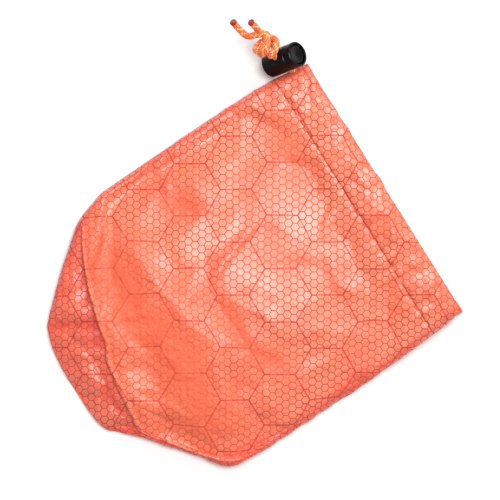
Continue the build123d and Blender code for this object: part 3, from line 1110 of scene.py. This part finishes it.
@dataclass
class SackCloth:
    """The sewn cloth: body with its hem, base and seam allowances. Lengths in millimetres."""

    form: SackForm
    finish: RipstopFinish
    base_finish: RipstopFinish
    settling: Settling
    rows: int = 100
    base_rows: int = 26
    lip: float = 1.3
    lip_width: float = 0.7
    tuck: float = 0.8
    sink: float = 2.1
    cloth_thick: float = 0.25
    allowance: float = 0.9
    off_floor: float = 0.15
    # The base: how far it reaches inside the body, its far end, and its even share of painted shade.
    base_overlap: float = 1.2
    far_end: float = -79.9
    base_shaded: float = 0.12
    end_shrinks: tuple[float, ...] = (0.6, 0.2)
    # Small waves of the cloth: height, size and what sets them apart.
    waves: tuple[Point, ...] = ((0.40, 17.0, 0.0), (0.28, 7.0, 5.0))
    facet_height: float = 1.4
    facet_size: float = 24.0
    stitch_dip: float = 0.9
    stitch_pucker: float = 0.36
    mouth_roll: float = 1.7
    channel_puff: float = 0.5
    channel_middle: float = 73.5
    side_wobble: float = 0.35
    # Longest moves while settling: body, base, and down along the cord in the channel.
    body_move: float = 3.0
    base_move: float = 2.0
    channel_sag: float = 0.3
    # Rows of the body: along the channel, about the stitches, and ahead of the base seam.
    channel_rows: tuple[float, ...] = (
        80.0, 79.6, 78.8, 77.6, 76.2, 74.8, 73.4, 72.0, 70.6, 69.2, 67.8, 66.6, 65.6,
    )
    stitch_rows: tuple[float, ...] = (0.9, 0.45, 0.0, -0.45, -0.9, -1.8)
    seam_rows: tuple[float, ...] = (3.4, 2.6, 2.0, 1.5, 1.1, 0.75, 0.4, 0.0)
    # Turned-in hem: place along the sack and depth inside the outer cloth.
    hem: tuple[tuple[float, float], ...] = (
        (63.0, 3.0), (63.6, 1.2), (64.4, 1.0), (65.6, 3.0), (67.4, 4.1), (70.0, 4.5),
        (73.0, 4.6), (76.0, 4.5), (78.2, 3.9), (79.4, 2.6), (79.9, 1.2),
    )
    surface: np.ndarray = field(init=False)
    material: bpy.types.Material = field(init=False)
    base_material: bpy.types.Material = field(init=False)

    def build(self) -> None:
        """Make the body, the base and the turned-in edges, and declare both sheets."""
        self.material = self.finish.material()
        self.base_material = self.base_finish.material()
        body = self._build_body()
        base = self._build_base()
        self._build_allowances()
        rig.sheet(body, flat=(0.267, 0.165), held="laid")
        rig.sheet(base, flat=(0.088, 0.088), held="laid", area=0.00608)

    def _body_rows(self) -> tuple[np.ndarray, np.ndarray]:
        """Lay out the outer body, mouth first.

        Returns:
            Points, and the place of each on the flat cloth with its share of painted shade.
        """
        seam = self.form.seam_x()
        marks = [*self.channel_rows, *(STITCH_LINE_MM + d for d in self.stitch_rows)]
        count = self.rows - len(marks) - len(self.seam_rows)
        lines = [np.full(self.form.columns, mark) for mark in marks]
        for index in range(count):
            t = (index + 1) / (count + 1)
            lines.append(marks[-1] + (seam + self.seam_rows[0] - marks[-1]) * t)
        lines += [seam + ahead for ahead in self.seam_rows]
        points, places = [], []
        for x in lines:
            y, z, along = self.form.at(x)
            back = x - seam
            edge = self.lip * bell(back - self.lip_width, 0.75) - self.tuck * bell(back, 0.3)
            points.append(np.stack([x, y, z + edge * self.form.upper()], -1))
            places.append(np.stack([x, along, self._shaded(x, y)], -1))
        return np.array(points), np.array(places)

    def _hem_rows(self) -> tuple[np.ndarray, np.ndarray]:
        """Lay out the hem inside the mouth, its free edge first.

        Returns:
            Points, and the place of each on the flat cloth.
        """
        points, places = [], []
        for mark, depth in self.hem:
            x = np.full(self.form.columns, mark)
            y, z, along = self.form.at(x)
            middle = (y[0] + y[self.form.half]) / 2
            half = (y[0] - y[self.form.half]) / 2
            top = z.max()
            y = middle + (y - middle) * (half - depth) / half
            z = depth + (z / top) * (top - 2 * depth)
            x = x - self._mouth_shift(x, y) * self.form.upper()
            points.append(np.stack([x, y, z], -1))
            places.append(np.stack([2 * MOUTH_MM - x, along, np.zeros_like(y)], -1))
        return np.array(points), np.array(places)

    def _shaded(self, x: np.ndarray, y: np.ndarray) -> np.ndarray:
        """How much painted shade dims the painted sheen at each place, from 0 to 1, on a metre's scale."""
        shares = sum(patch.lift(x, y) for patch in SHADED_PATCHES)
        return np.clip(shares * self.form.upper(), 0, 1) / MM

    def _creased(self, points: np.ndarray, creases: Iterable[Crease], seed: float) -> np.ndarray:
        """Add creases, puckers and small waves to the upper layer.

        Args:
            points: The smooth grid of cloth.
            creases: The folds laid on it.
            seed: Sets the small waves apart.

        Returns:
            The creased grid.
        """
        x, y = points[..., 0], points[..., 1]
        upper = self.form.upper()[None, :]
        lift = sum(crease.lift(x, y) for crease in creases)
        for height, size, apart in self.waves:
            lift = lift + height * ripple(x, y, size, seed + apart)
        # Flat facets between sharp folds, fewer in the widest patch of painted shade and towards the mouth.
        calm = 1 - 0.8 * np.clip(SHADED_PATCHES[0].lift(x, y), 0, 1)
        facets = 0.4 - 2.2 * np.abs(ripple(x + 0.3 * y, y, self.facet_size, seed + 31))
        even = 1 - 0.45 * np.clip((x - 5.0) / 20.0, 0, 1)
        lift = lift + self.facet_height * calm * even * facets
        # The stitches pull the cloth in, the cord fills the channel, the mouth edge rolls over.
        line = bell(x - STITCH_LINE_MM, 0.7)
        near = bell(x - STITCH_LINE_MM, 6.0)
        pucker = np.sin(y * 0.92 + 2.2 * ripple(x * 0, y, 14.0, 9.0))
        lift = lift - self.stitch_dip * line + self.stitch_pucker * near * pucker
        lift = lift - self.mouth_roll * bell(x - 80.3, 1.4)
        puff = bell(x - self.channel_middle, 4.5) * self.channel_puff
        points = points.copy()
        points[..., 2] += (lift + puff) * upper
        points[..., 0] -= self._mouth_shift(x, y) * upper
        shares = self.form.shares
        sides = bell(np.minimum(shares, np.abs(shares - 0.5)), 0.02)[None, :]
        wobble = self.side_wobble * ripple(x, x * 0 + np.sign(y) * 40, 6.0, seed + 2)
        points[..., 1] += wobble * sides * np.sign(y)
        return points

    def _mouth_shift(self, x: np.ndarray, y: np.ndarray) -> np.ndarray:
        """How far the gathered mouth edge stands back from straight."""
        return np.clip((x - 72.0) / 7.0, 0, 1) * (0.7 + 1.3 * ripple(y, y * 0, 9.0, 11.0))

    def _body_hold(self, points: np.ndarray) -> np.ndarray:
        """Choose how firmly each point of the body stays while the cloth settles.

        Args:
            points: The grid of the body, the hem's rows first.

        Returns:
            One weight per point.
        """
        share = self.form.shares
        first = len(self.hem)
        hold = np.full(points.shape[:2], LOOSE)
        hold[:first] = SEWN
        hold[first : first + 2] = FIRM
        hold[-7:] = SEWN
        hold[-9:-7] = BY_SEAM
        hold[:, :2] = FIRM
        hold[:, -2:] = FIRM
        hold[:, (share > 0.53) & (share < 0.97)] = RESTING
        from_line = np.abs(points[..., 0] - STITCH_LINE_MM)
        outer = hold[first:]
        outer[:] = np.maximum(outer, BY_STITCHES * bell(from_line[first:], 5.0))
        hold[from_line < 0.8] = RESTING
        channel = points[first:, :, 0] > STITCH_LINE_MM + 0.8
        outer[channel] = np.maximum(outer[channel], CHANNEL)
        return hold

    def _settled_step(
        self, name: str, flat: np.ndarray, faces: list, hold: np.ndarray, most: float
    ) -> np.ndarray:
        """Args:
            name: Name for the passing object.
            flat: Places in metres.
            faces: Faces over those points.
            hold: How firmly each point stays.
            most: Longest move along each axis, in millimetres.

        Returns:
            The moves in metres.
        """
        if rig.quick():
            return np.zeros_like(flat)
        settled = self.settling.settle(name, flat, faces, hold)
        return np.clip(settled - flat, -most * MM, most * MM)

    def _build_body(self) -> bpy.types.Object:
        """Make the body with its turned-in hem as one sheet.

        Returns:
            The body.
        """
        outer, places = self._body_rows()
        hem, hem_places = self._hem_rows()
        points = np.concatenate([hem, self._creased(outer, BODY_CREASES, 3.0)])
        faces = grid_faces(*points.shape[:2])
        flat = points.reshape(-1, 3) * MM
        hold = self._body_hold(points)
        step = self._settled_step("settling_body", flat, faces, hold, self.body_move)
        # The cord inside keeps the channel up.
        in_channel = flat[:, 0] > (STITCH_LINE_MM + 1) * MM
        step[in_channel, 2] = np.maximum(step[in_channel, 2], -self.channel_sag * MM)
        flat = flat + step
        piece = self._sheet(
            "body_cloth", points, flat, np.concatenate([hem_places, places]), BODY_SHADE_LINES
        )
        self.surface = flat.reshape(points.shape)[len(hem):]
        self._finish_cloth(piece, self.material)
        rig.replaces(piece, "body_panel", "channel_hem")
        return piece

    def _build_base(self) -> bpy.types.Object:
        """Make the round base, from the seam over the far end and back underneath.

        Returns:
            The base.
        """
        seam = self.form.seam_x()
        points, places = [], []
        for t in np.linspace(0, 1, self.base_rows):
            start = seam + self.base_overlap
            x = start + (self.far_end - start) * (1 - (1 - t) ** 1.25)
            y, z, along = self.form.at(x)
            dip = -self.sink * bell(np.maximum(seam - x, 0), 6.5)
            points.append(np.stack([x, y, z + dip * self.form.upper()], -1))
            # The whole base takes an even share of painted shade.
            places.append(np.stack([x, along, np.full_like(x, self.base_shaded / MM)], -1))
        grid = self._creased(np.array(points), BASE_CREASES, 11.0)
        # Shrunk copies of the last row close the far end.
        end = grid[-1].mean(axis=0)
        for shrink in self.end_shrinks:
            cap = end + (grid[-1] - end) * shrink
            cap[:, 0] -= 0.25 * (1 - shrink)
            grid = np.concatenate([grid, cap[None]])
            places.append(places[-1])
        hold = np.full(grid.shape[:2], BASE_LOOSE)
        hold[:3] = SEWN
        hold[-4:] = FIRM
        hold[:, :2] = FIRM
        hold[:, -2:] = FIRM
        hold[:, self.form.shares > 0.5] = RESTING
        faces = grid_faces(*grid.shape[:2])
        flat = grid.reshape(-1, 3) * MM
        flat = flat + self._settled_step("settling_base", flat, faces, hold, self.base_move)
        piece = self._sheet("base_cloth", grid, flat, np.array(places), BASE_SHADE_LINES)
        self._finish_cloth(piece, self.base_material)
        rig.replaces(piece, "base_panel")
        return piece

    def _sheet(
        self,
        name: str,
        grid: np.ndarray,
        flat: np.ndarray,
        places: np.ndarray,
        folds: Iterable[Crease],
    ) -> bpy.types.Object:
        """Make one sheet of cloth with the attributes that its finish reads.

        Args:
            name: Name of the piece.
            grid: The cloth before it settled, in millimetres.
            flat: The settled points in metres; they are lifted clear of the floor here.
            places: Place of each point on the flat cloth, with its share of painted shade.
            folds: Lines of painted shade that are tinted.

        Returns:
            The piece.
        """
        flat[:, 2] = np.maximum(flat[:, 2], self.off_floor * MM)
        mesh = mesh_of(name, flat, grid_faces(*grid.shape[:2]))
        store(mesh, "cloth", places.reshape(-1, 3) * MM)
        # Painted shade: darker along the round side edges and the mouth edge, and along the given lines of painted
        # shade.
        share = self.form.shares
        aside = np.minimum(np.minimum(share, np.abs(share - 0.5)), 1 - share) * GIRTH_MM
        rim = np.maximum(bell(aside[None, :], 5.6), bell(grid[..., 0] - MOUTH_MM, 1.3))
        pressed = sum(painted_shade.lift(grid[..., 0], grid[..., 1]) for painted_shade in folds)
        rim = np.clip(rim + pressed * self.form.upper()[None, :], 0, 1)
        layer = mesh.attributes.new("rim", "FLOAT", "POINT")
        layer.data.foreach_set("value", rim.astype(np.float32).ravel())
        return new_object(name, mesh)

    def _finish_cloth(self, piece: bpy.types.Object, material: bpy.types.Material) -> None:
        """Give a sheet its thickness, its smooth surface and its finish.

        Args:
            piece: The sheet.
            material: Its material.
        """
        add_modifier(piece, "SUBSURF", levels=1, render_levels=1)
        add_modifier(piece, "SOLIDIFY", thickness=self.cloth_thick * MM, offset=-1.0)
        dress(piece, Part.SACK, Slot.CLOTH, material)

    def _strip(self, name: str, rows: np.ndarray, node: str) -> None:
        """Make an inner strip of cloth.

        Args:
            name: Name of the piece.
            rows: Its grid of points in metres.
            node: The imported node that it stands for.
        """
        mesh = mesh_of(name, rows.reshape(-1, 3), grid_faces(*rows.shape[:2]))
        store(mesh, "cloth", rows.reshape(-1, 3))
        piece = new_object(name, mesh)
        add_modifier(piece, "SOLIDIFY", thickness=self.cloth_thick * MM, offset=0.0)
        dress(piece, Part.SACK, Slot.CLOTH, self.material)
        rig.replaces(piece, node)

    def _build_allowances(self) -> None:
        """Make the raw edges turned inside the base seam and the side seam."""
        depth = self.allowance * MM
        ring = self.surface[SEAM_ROWS]
        base = ring + unit(ring.mean(axis=(0, 1)) - ring) * depth
        over = np.sign(base[..., 2] - 6 * MM)
        base[..., 2] = np.clip(base[..., 2] - depth * over, 0.8 * MM, None)
        self._strip("base_seam_edges", base, "base_seam_allowance")
        side = self.surface[SIDE_ROWS, SIDE_COLUMNS].copy()
        side[..., 2] = side[..., 2] + depth
        side[..., 1] -= depth
        self._strip("side_seam_edges", side, "side_seam_allowance")


# ---- thread ----
@dataclass
class Stitching:
    """Rows of thread sewn through the cloth, and the two bar tacks, in millimetres."""

    cloth: SackCloth
    finish: ThreadFinish
    pitch: float = 2.6
    stitch: float = 1.9
    tack_stitch: float = 1.5
    tack_rows: int = 9
    thick: float = 0.36
    proud: float = 0.06
    look_ahead: float = 0.4
    # How far the side seam's row lies above and in from the lower cloth.
    side_rise: float = 1.2
    side_inset: float = 0.9
    tack_inset: float = 0.5
    tack_sink: float = 0.12
    sides: int = 8
    rings: int = 7
    material: bpy.types.Material = field(init=False)

    def build(self) -> None:
        """Sew the channel, the base seam, the side seam and the bar tacks."""
        self.material = self.finish.material()
        grid = self.cloth.surface
        normal = unit(np.cross(np.gradient(grid, axis=1), np.gradient(grid, axis=0)))
        # Columns that are sewn over the top and underneath, clear of the two sides.
        top, under, middle_column = slice(4, 80), slice(90, 162), 42
        row = int(np.abs(grid[:, middle_column, 0] - STITCH_LINE_MM * MM).argmin())
        channel = self._row(grid[row, top], normal[row, top])
        channel += self._row(grid[row, under], normal[row, under])
        self._sewn("channel_thread", channel, "channel_stitching")
        base = self._row(grid[SEAM_ROW, top], normal[SEAM_ROW, top])
        self._sewn("base_seam_thread", base, "base_seam_stitching")
        side = grid[SIDE_ROWS, SIDE_COLUMN].copy()
        side[:, 2] += self.side_rise * MM
        side[:, 1] -= self.side_inset * MM
        inner = self._row(side, -normal[SIDE_ROWS, SIDE_COLUMN])
        self._sewn("side_seam_thread", inner, "side_seam_stitching")
        self._tacks(grid)

    def _row(self, line: np.ndarray, out: np.ndarray) -> list[tuple[np.ndarray, ...]]:
        """Space stitches along a line.

        Args:
            line: Points of the line in metres.
            out: Outward way at each point.

        Returns:
            Middle, direction and outward way of each stitch.
        """
        step = lengths_to(line)
        pitch = self.pitch * MM
        marks = np.arange(pitch, step[-1] - pitch, pitch)
        here = sample(marks, step, line)
        ahead = sample(marks + self.look_ahead * MM, step, line)
        return list(zip(here, unit(ahead - here), unit(sample(marks, step, out))))

    def _sewn(self, name: str, stitches: list, node: str, length: float | None = None) -> None:
        """Make one object of many small bowed lengths of thread.

        Args:
            name: Name of the piece.
            stitches: Middle, direction and outward way of each.
            node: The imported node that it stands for.
            length: Length of a stitch where it isn't the usual one.
        """
        points, faces = [], []
        half = (length or self.stitch) * MM / 2
        radius = self.thick * MM / 2
        for middle, way, out in stitches:
            across = np.cross(way, out)
            faces += tube_faces(self.rings, self.sides, len(points))
            for u in np.linspace(-1, 1, self.rings):
                size = radius * math.sqrt(max(1 - abs(u) ** 4, 0.02))
                rise = self.proud * MM - 0.5 * radius * u**4
                centre = middle + way * half * u + out * rise
                for side in range(self.sides):
                    a = FULL_TURN * side / self.sides
                    points.append(centre + size * (math.cos(a) * across + math.sin(a) * out))
        piece = new_object(name, mesh_of(name, np.array(points), faces))
        dress(piece, Part.SACK, Slot.THREAD, self.material)
        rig.replaces(piece, node)

    def _tacks(self, grid: np.ndarray) -> None:
        """Make dense bars of thread at both ends of the cord's exit gap.

        Args:
            grid: The body's outer cloth in metres.
        """
        low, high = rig.box("exit_bar_tacks")
        along, out = np.array([1.0, 0, 0]), np.array([0, 1.0, 0])
        stitches = []
        for x in (low[0] + self.tack_inset * MM, high[0] - self.tack_inset * MM):
            row = int(np.abs(grid[:, 0, 0] - x).argmin())
            y = grid[row, 0, 1] - self.tack_sink * MM
            for step in range(self.tack_rows):
                z = low[2] + (high[2] - low[2]) * (step + 0.5) / self.tack_rows
                stitches.append((np.array([x, y, z]), along, out))
        self._sewn("exit_tack_thread", stitches, "exit_bar_tacks", self.tack_stitch)


# ---- cord lock ----
@dataclass
class CordLock:
    """Spring cord lock: barrel, plunger and spring, in millimetres on the barrel's axis."""

    finish: LockPlasticFinish
    steel: SpringSteelFinish
    wire: float = 0.45
    coil_diameter: float = 5.8
    turns: float = 3.5
    rings: int = 183
    sides: int = 10
    low: float = -7.5
    high: float = -2.98

    def build(self) -> None:
        """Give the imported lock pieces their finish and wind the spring."""
        plastic = self.finish.material()
        for node in ("cord_lock_barrel", "cord_lock_plunger"):
            redress(node, plastic)
            log.info("dressed %s", node)
        self._wind()

    def _wind(self) -> None:
        """Wind the spring from the barrel's floor to the plunger, closing as it is pressed."""
        side = LOCK_AXIS.orthogonal().normalized()
        across = LOCK_AXIS.cross(side)
        radius = (self.coil_diameter - self.wire) / 2
        points = []
        for step in range(self.rings):
            part = step / (self.rings - 1)
            turn = FULL_TURN * self.turns * part
            out = side * math.cos(turn) + across * math.sin(turn)
            rise = LOCK_AXIS * (self.low + (self.high - self.low) * part)
            middle = LOCK_CENTRE_MM + out * radius + rise
            for k in range(self.sides):
                a = FULL_TURN * k / self.sides
                way = out * math.cos(a) + LOCK_AXIS * math.sin(a)
                points.append(middle + way * self.wire / 2)
        faces = tube_faces(self.rings, self.sides)
        piece = new_object("spring_coil", mesh_of("spring_coil", np.array(points) * MM, faces))
        piece.data.materials.append(self.steel.material())
        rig.slot(piece, Slot.STEEL.value)
        foot = (LOCK_CENTRE_MM + LOCK_AXIS * self.low) * MM
        head = (LOCK_CENTRE_MM + LOCK_AXIS * self.high) * MM
        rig.blend(piece, Part.LOCK.value, Part.PLUNGER.value, start=foot, end=head)
        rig.replaces(piece, "cord_lock_spring")


# ---- drawcord ----
@dataclass
class Drawcord:
    """Braided cord outside the channel: strands, one overhand knot and two tails.

    Routes are in millimetres: across the strands, along the pull and up the barrel.
    """

    finish: CordFinish
    melted: MeltedFinish
    diameter: float = 3.0 * MM
    way: Vector = field(
        default_factory=lambda: Vector((-0.310362, 0.79773, 0.517013)).normalized()
    )
    strand_gap: float = 1.55
    strand_size: float = 0.985
    ring_step: float = 0.16 * MM
    around: int = 48
    yarns: int = 6
    yarn_turn: float = 9.0 * MM
    tip_around: int = 24
    tip_size: float = 1.03
    long_route: tuple[Point, ...] = (
        (-1.55, 5.6, 0.0), (-2.0, 7.6, 0.2), (-4.6, 8.4, 1.6), (-3.0, 9.0, 4.8),
        (2.0, 9.8, 5.0), (5.0, 10.4, 1.0), (3.4, 10.6, -3.4), (-0.2, 10.6, -4.6),
        (-4.3, 10.4, -2.2), (-4.2, 11.6, 2.2), (-1.4, 13.6, 3.9), (2.2, 15.2, 3.0),
        (2.0, 17.2, -0.4), (-0.4, 19.6, -2.4), (-0.2, 23.4, -2.8), (0.4, 29.2, -2.0),
    )
    short_route: tuple[Point, ...] = (
        (1.55, 5.6, 0.2), (1.7, 7.8, 0.9), (3.6, 9.2, 0.4), (3.2, 11.6, -2.6),
        (-0.4, 12.8, -4.6), (-4.2, 13.4, -2.4), (-4.2, 14.0, 1.8), (-0.8, 13.0, 0.6),
        (3.6, 12.4, 2.2), (4.6, 14.0, 0.6), (2.6, 16.2, 0.4), (2.4, 19.4, 2.4),
        (2.4, 23.8, 3.0),
    )
    material: bpy.types.Material = field(init=False)

    def build(self) -> None:
        """Make both strands through the knot, their melted ends and the joining lengths."""
        self.material = self.finish.material()
        nodes = ("drawcord_knot", "drawcord_tail_long")
        self._cord("drawcord_long", self.long_route, nodes, "cord_tip_long", 0.25)
        nodes = ("drawcord_tail_short",)
        self._cord("drawcord_short", self.short_route, nodes, "cord_tip_short", 0.8)
        self._join()

    def _local(self, across: float, out: float, up: float) -> Vector:
        """A place near the lock."""
        side = self.way.cross(LOCK_AXIS).normalized()
        return LOCK_CENTRE_MM * MM + (side * across + self.way * out + LOCK_AXIS * up) * MM

    def _spline(self, route: Sequence[Point]) -> np.ndarray:
        """Draw the smooth line of a route.

        Args:
            route: Its control places.

        Returns:
            Points along the line in metres.
        """
        curve = bpy.data.curves.new("route", "CURVE")
        curve.dimensions = "3D"
        curve.resolution_u = 24
        spline = curve.splines.new("NURBS")
        spline.points.add(len(route) - 1)
        for point, spot in zip(spline.points, route):
            point.co = (*self._local(*spot), 1.0)
        spline.order_u = 3
        spline.use_endpoint_u = True
        carrier = bpy.data.objects.new("route", curve)
        line = bpy.data.meshes.new_from_object(carrier)
        found = np.array([v.co for v in line.vertices])
        bpy.data.objects.remove(carrier)
        bpy.data.curves.remove(curve)
        bpy.data.meshes.remove(line)
        return found

    def _rope(self, name: str, line: np.ndarray, shrink: float = 1.0) -> bpy.types.Object:
        """Make a braided tube along a line of points.

        Args:
            name: Name of the piece.
            line: Points in metres.
            shrink: Its thickness as a share of the cord's.

        Returns:
            The rope.
        """
        step = lengths_to(line)
        count = max(int(step[-1] / self.ring_step), 8)
        marks = np.linspace(0, step[-1], count)
        centre = sample(marks, step, line)
        ahead = unit(np.gradient(centre, axis=0))
        side = unit(np.cross(ahead[0], (0.3, 0.2, 1.0)))
        radius = self.diameter / 2 * shrink
        turn = FULL_TURN / self.yarn_turn
        points, braid = [], []
        for here, way, mark in zip(centre, ahead, marks):
            side = unit(side - way * np.dot(side, way))
            up = np.cross(way, side)
            for k in range(self.around):
                a = FULL_TURN * k / self.around
                left, right = self.yarns * (a + turn * mark), self.yarns * (a - turn * mark)
                over = math.cos(0.5 * (left + right)) * math.cos(0.5 * (left - right)) > 0
                top = left if over else right
                bulge = (0.5 + 0.5 * math.cos(top)) ** 0.6
                size = radius * (0.88 + 0.12 * bulge)
                points.append(here + size * (math.cos(a) * side + math.sin(a) * up))
                yarn = math.floor(top / FULL_TURN + 0.5) % self.yarns
                pale = yarn in ((0, 2) if over else (1, 3))
                braid.append((bulge, float(pale), 0.0))
        mesh = mesh_of(name, np.array(points), tube_faces(count, self.around))
        store(mesh, "braid", np.array(braid))
        return new_object(name, mesh)

    def _tip(self, name: str, line: np.ndarray, node: str, rounded: float) -> bpy.types.Object:
        """Make the melted end of a tail: a short lumpy cap on the last of the line.

        Args:
            name: Name of the piece.
            line: Points of the tail in metres.
            node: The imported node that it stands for.
            rounded: How far its end draws in, from 0 to 1.

        Returns:
            The cap.
        """
        way = Vector(line[-1] - line[-6]).normalized()
        side = way.orthogonal().normalized()
        up = way.cross(side)
        radius = self.diameter / 2 * self.tip_size
        # Place along the tail in millimetres, and size.
        profile = [(-0.3, 0.98), (0.2, 1.0), (0.5, 0.98)]
        for a in np.linspace(0.2, 1.5, 7):
            profile.append((0.5 + 0.6 * math.sin(a), 1 - rounded * (1 - math.cos(a))))
        points = []
        for place, size in profile:
            for k in range(self.tip_around):
                a = FULL_TURN * k / self.tip_around
                spot = Vector((math.cos(a) * 2, math.sin(a) * 2, place * 2))
                lump = 1 + 0.05 * noise.noise(spot)
                offset = side * math.cos(a) + up * math.sin(a)
                points.append(Vector(line[-1]) + way * place * MM + offset * radius * size * lump)
        faces = tube_faces(len(profile), self.tip_around)
        piece = new_object(name, mesh_of(name, np.array(points), faces))
        dress(piece, Part.PULL, Slot.MELTED, self.melted.material())
        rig.replaces(piece, node)
        return piece

    def _cord(
        self, name: str, route: Sequence[Point], nodes: Sequence[str], tip: str, rounded: float
    ) -> None:
        """Make and declare one strand from the lock through the knot to its tip.

        Args:
            name: Name of the piece.
            route: Its control places.
            nodes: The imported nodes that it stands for.
            tip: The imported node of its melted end.
            rounded: How far that end draws in.
        """
        line = self._spline(route)
        piece = self._rope(name, line)
        dress(piece, Part.PULL, Slot.CORD, self.material)
        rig.replaces(piece, *nodes)
        cap = self._tip(f"melted_{name}", line, tip, rounded)
        length = float(np.linalg.norm(np.diff(line, axis=0), axis=1).sum())
        log.info("%s is %.1f mm long", name, length / MM)
        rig.cord(
            piece, exit=tuple(line[0]), length=length, diameter=self.diameter, far_end="bare",
            stiffness="limp", lay="loose", path=[tuple(p) for p in line],
            with_pieces=[cap],
        )

    def _join(self) -> None:
        """Make the lengths that draw out between the sack, the lock and the knot."""
        place = self._local
        for index, across in enumerate((-self.strand_gap, self.strand_gap)):
            start, middle, end = (place(across, out, 0.0) for out in (-8.5, 0.0, 6.8))
            ends = np.array([start, middle]), np.array([middle, end])
            inner = self._rope(f"strand_to_lock_{index}", ends[0], self.strand_size)
            outer = self._rope(f"strand_to_knot_{index}", ends[1], self.strand_size)
            for piece in (inner, outer):
                piece.data.materials.append(self.material)
                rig.slot(piece, Slot.CORD.value)
            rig.blend(inner, "sack", "lock", start=place(0, -7.5, 0), end=place(0, -1.0, 0))
            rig.blend(outer, "lock", "pull", start=place(0, 0.5, 0), end=place(0, 6.3, 0))
            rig.replaces(outer, "drawcord_through_lock")
        redress("drawcord_in_channel", self.material)


# ---- studio ----
@dataclass
class Studio:
    """Floor, soft light and a camera straight above the sack."""

    target: Point = (16.2 * MM, 9.5 * MM, 12.0 * MM)
    roll: float = math.radians(-32.1)
    field_of_view: float = 215.0 * MM
    distance: float = 1.2
    sensor: float = 36.0
    floor_half: float = 3.0
    ambient: float = 0.34
    # Name, place, size and power of each soft light.
    lights: tuple[tuple[str, Point, float, float], ...] = (
        ("overhead", (0.30, 0.12, 1.45), 0.75, 19.0),
        ("side", (1.05, 0.42, 0.62), 0.40, 7.0),
    )

    def build(self) -> None:
        """Make the stage, the lights and the camera."""
        self._lay_floor()
        self._point_camera()
        scene = bpy.context.scene
        scene.world = bpy.data.worlds.new("studio")
        scene.world.use_nodes = True
        background = scene.world.node_tree.nodes["Background"]
        background.inputs["Color"].default_value = (1.0, 1.0, 1.0, 1.0)
        background.inputs["Strength"].default_value = self.ambient
        scene.view_settings.view_transform = "Standard"
        for light in self.lights:
            self._light(*light)

    def _lay_floor(self) -> None:
        """Make the floor."""
        far = self.floor_half
        corners = np.array([(-far, -far, 0), (far, -far, 0), (far, far, 0), (-far, far, 0)])
        floor = new_object("floor", mesh_of("floor", corners, [(0, 1, 2, 3)]))
        floor.data.materials.append(FloorFinish("pale_floor").material())
        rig.stage(floor)

    def _point_camera(self) -> None:
        """Hang the camera straight above the sack."""
        data = bpy.data.cameras.new("camera")
        data.sensor_width = self.sensor
        data.lens = data.sensor_width * self.distance / self.field_of_view
        camera = bpy.data.objects.new("camera", data)
        camera.location = Vector(self.target) + Vector((0, 0, self.distance))
        camera.rotation_euler = Euler((0, 0, self.roll))
        bpy.context.scene.collection.objects.link(camera)
        bpy.context.scene.camera = camera

    def _light(self, name: str, place: Point, size: float, power: float) -> None:
        """Add one square soft light that faces the sack.

        Args:
            name: Name of the light.
            place: Where it hangs.
            size: Its side.
            power: Its watts.
        """
        data = bpy.data.lights.new(name, "AREA")
        data.size = size
        data.energy = power
        lamp = bpy.data.objects.new(name, data)
        lamp.location = place
        facing = Vector(place) - Vector(self.target)
        lamp.rotation_euler = facing.to_track_quat("Z", "Y").to_euler()
        bpy.context.scene.collection.objects.link(lamp)


def main() -> None:
    """Build every assembly in order, report its pieces and write the size comparison."""
    logging.basicConfig(level=logging.INFO, format="%(name)s: %(message)s")
    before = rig.bounds()
    # The base takes darker, redder copies of the cloth colours: painted shade for the base, which faces away from the
    # light.
    shaded_base = RipstopFinish("ripstop_base", cloth=(0.94, 0.115, 0.062), cell=(0.97, 0.225, 0.145))
    cloth = SackCloth(SackForm(), RipstopFinish("ripstop"), shaded_base, Settling())
    assemblies = (
        Studio(),
        Drawcord(CordFinish("cord_braid"), MeltedFinish("cord_melted")),
        cloth,
        Stitching(cloth, ThreadFinish("thread")),
        CordLock(LockPlasticFinish("lock_plastic"), SpringSteelFinish("spring_wire")),
    )
    for assembly in assemblies:
        known = set(bpy.data.objects.keys())
        assembly.build()
        for name, piece in bpy.data.objects.items():
            if name not in known and piece.type == "MESH":
                log.info("made %s of %d points", name, len(piece.data.vertices))
    sizes = {
        "cad": [list(map(float, p)) for p in before],
        "visual": [list(map(float, p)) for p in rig.bounds()],
    }
    with open("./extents.json", "w") as out:
        json.dump(sizes, out)
    log.info("sizes %s", sizes)


if __name__ == "__main__":
    main()
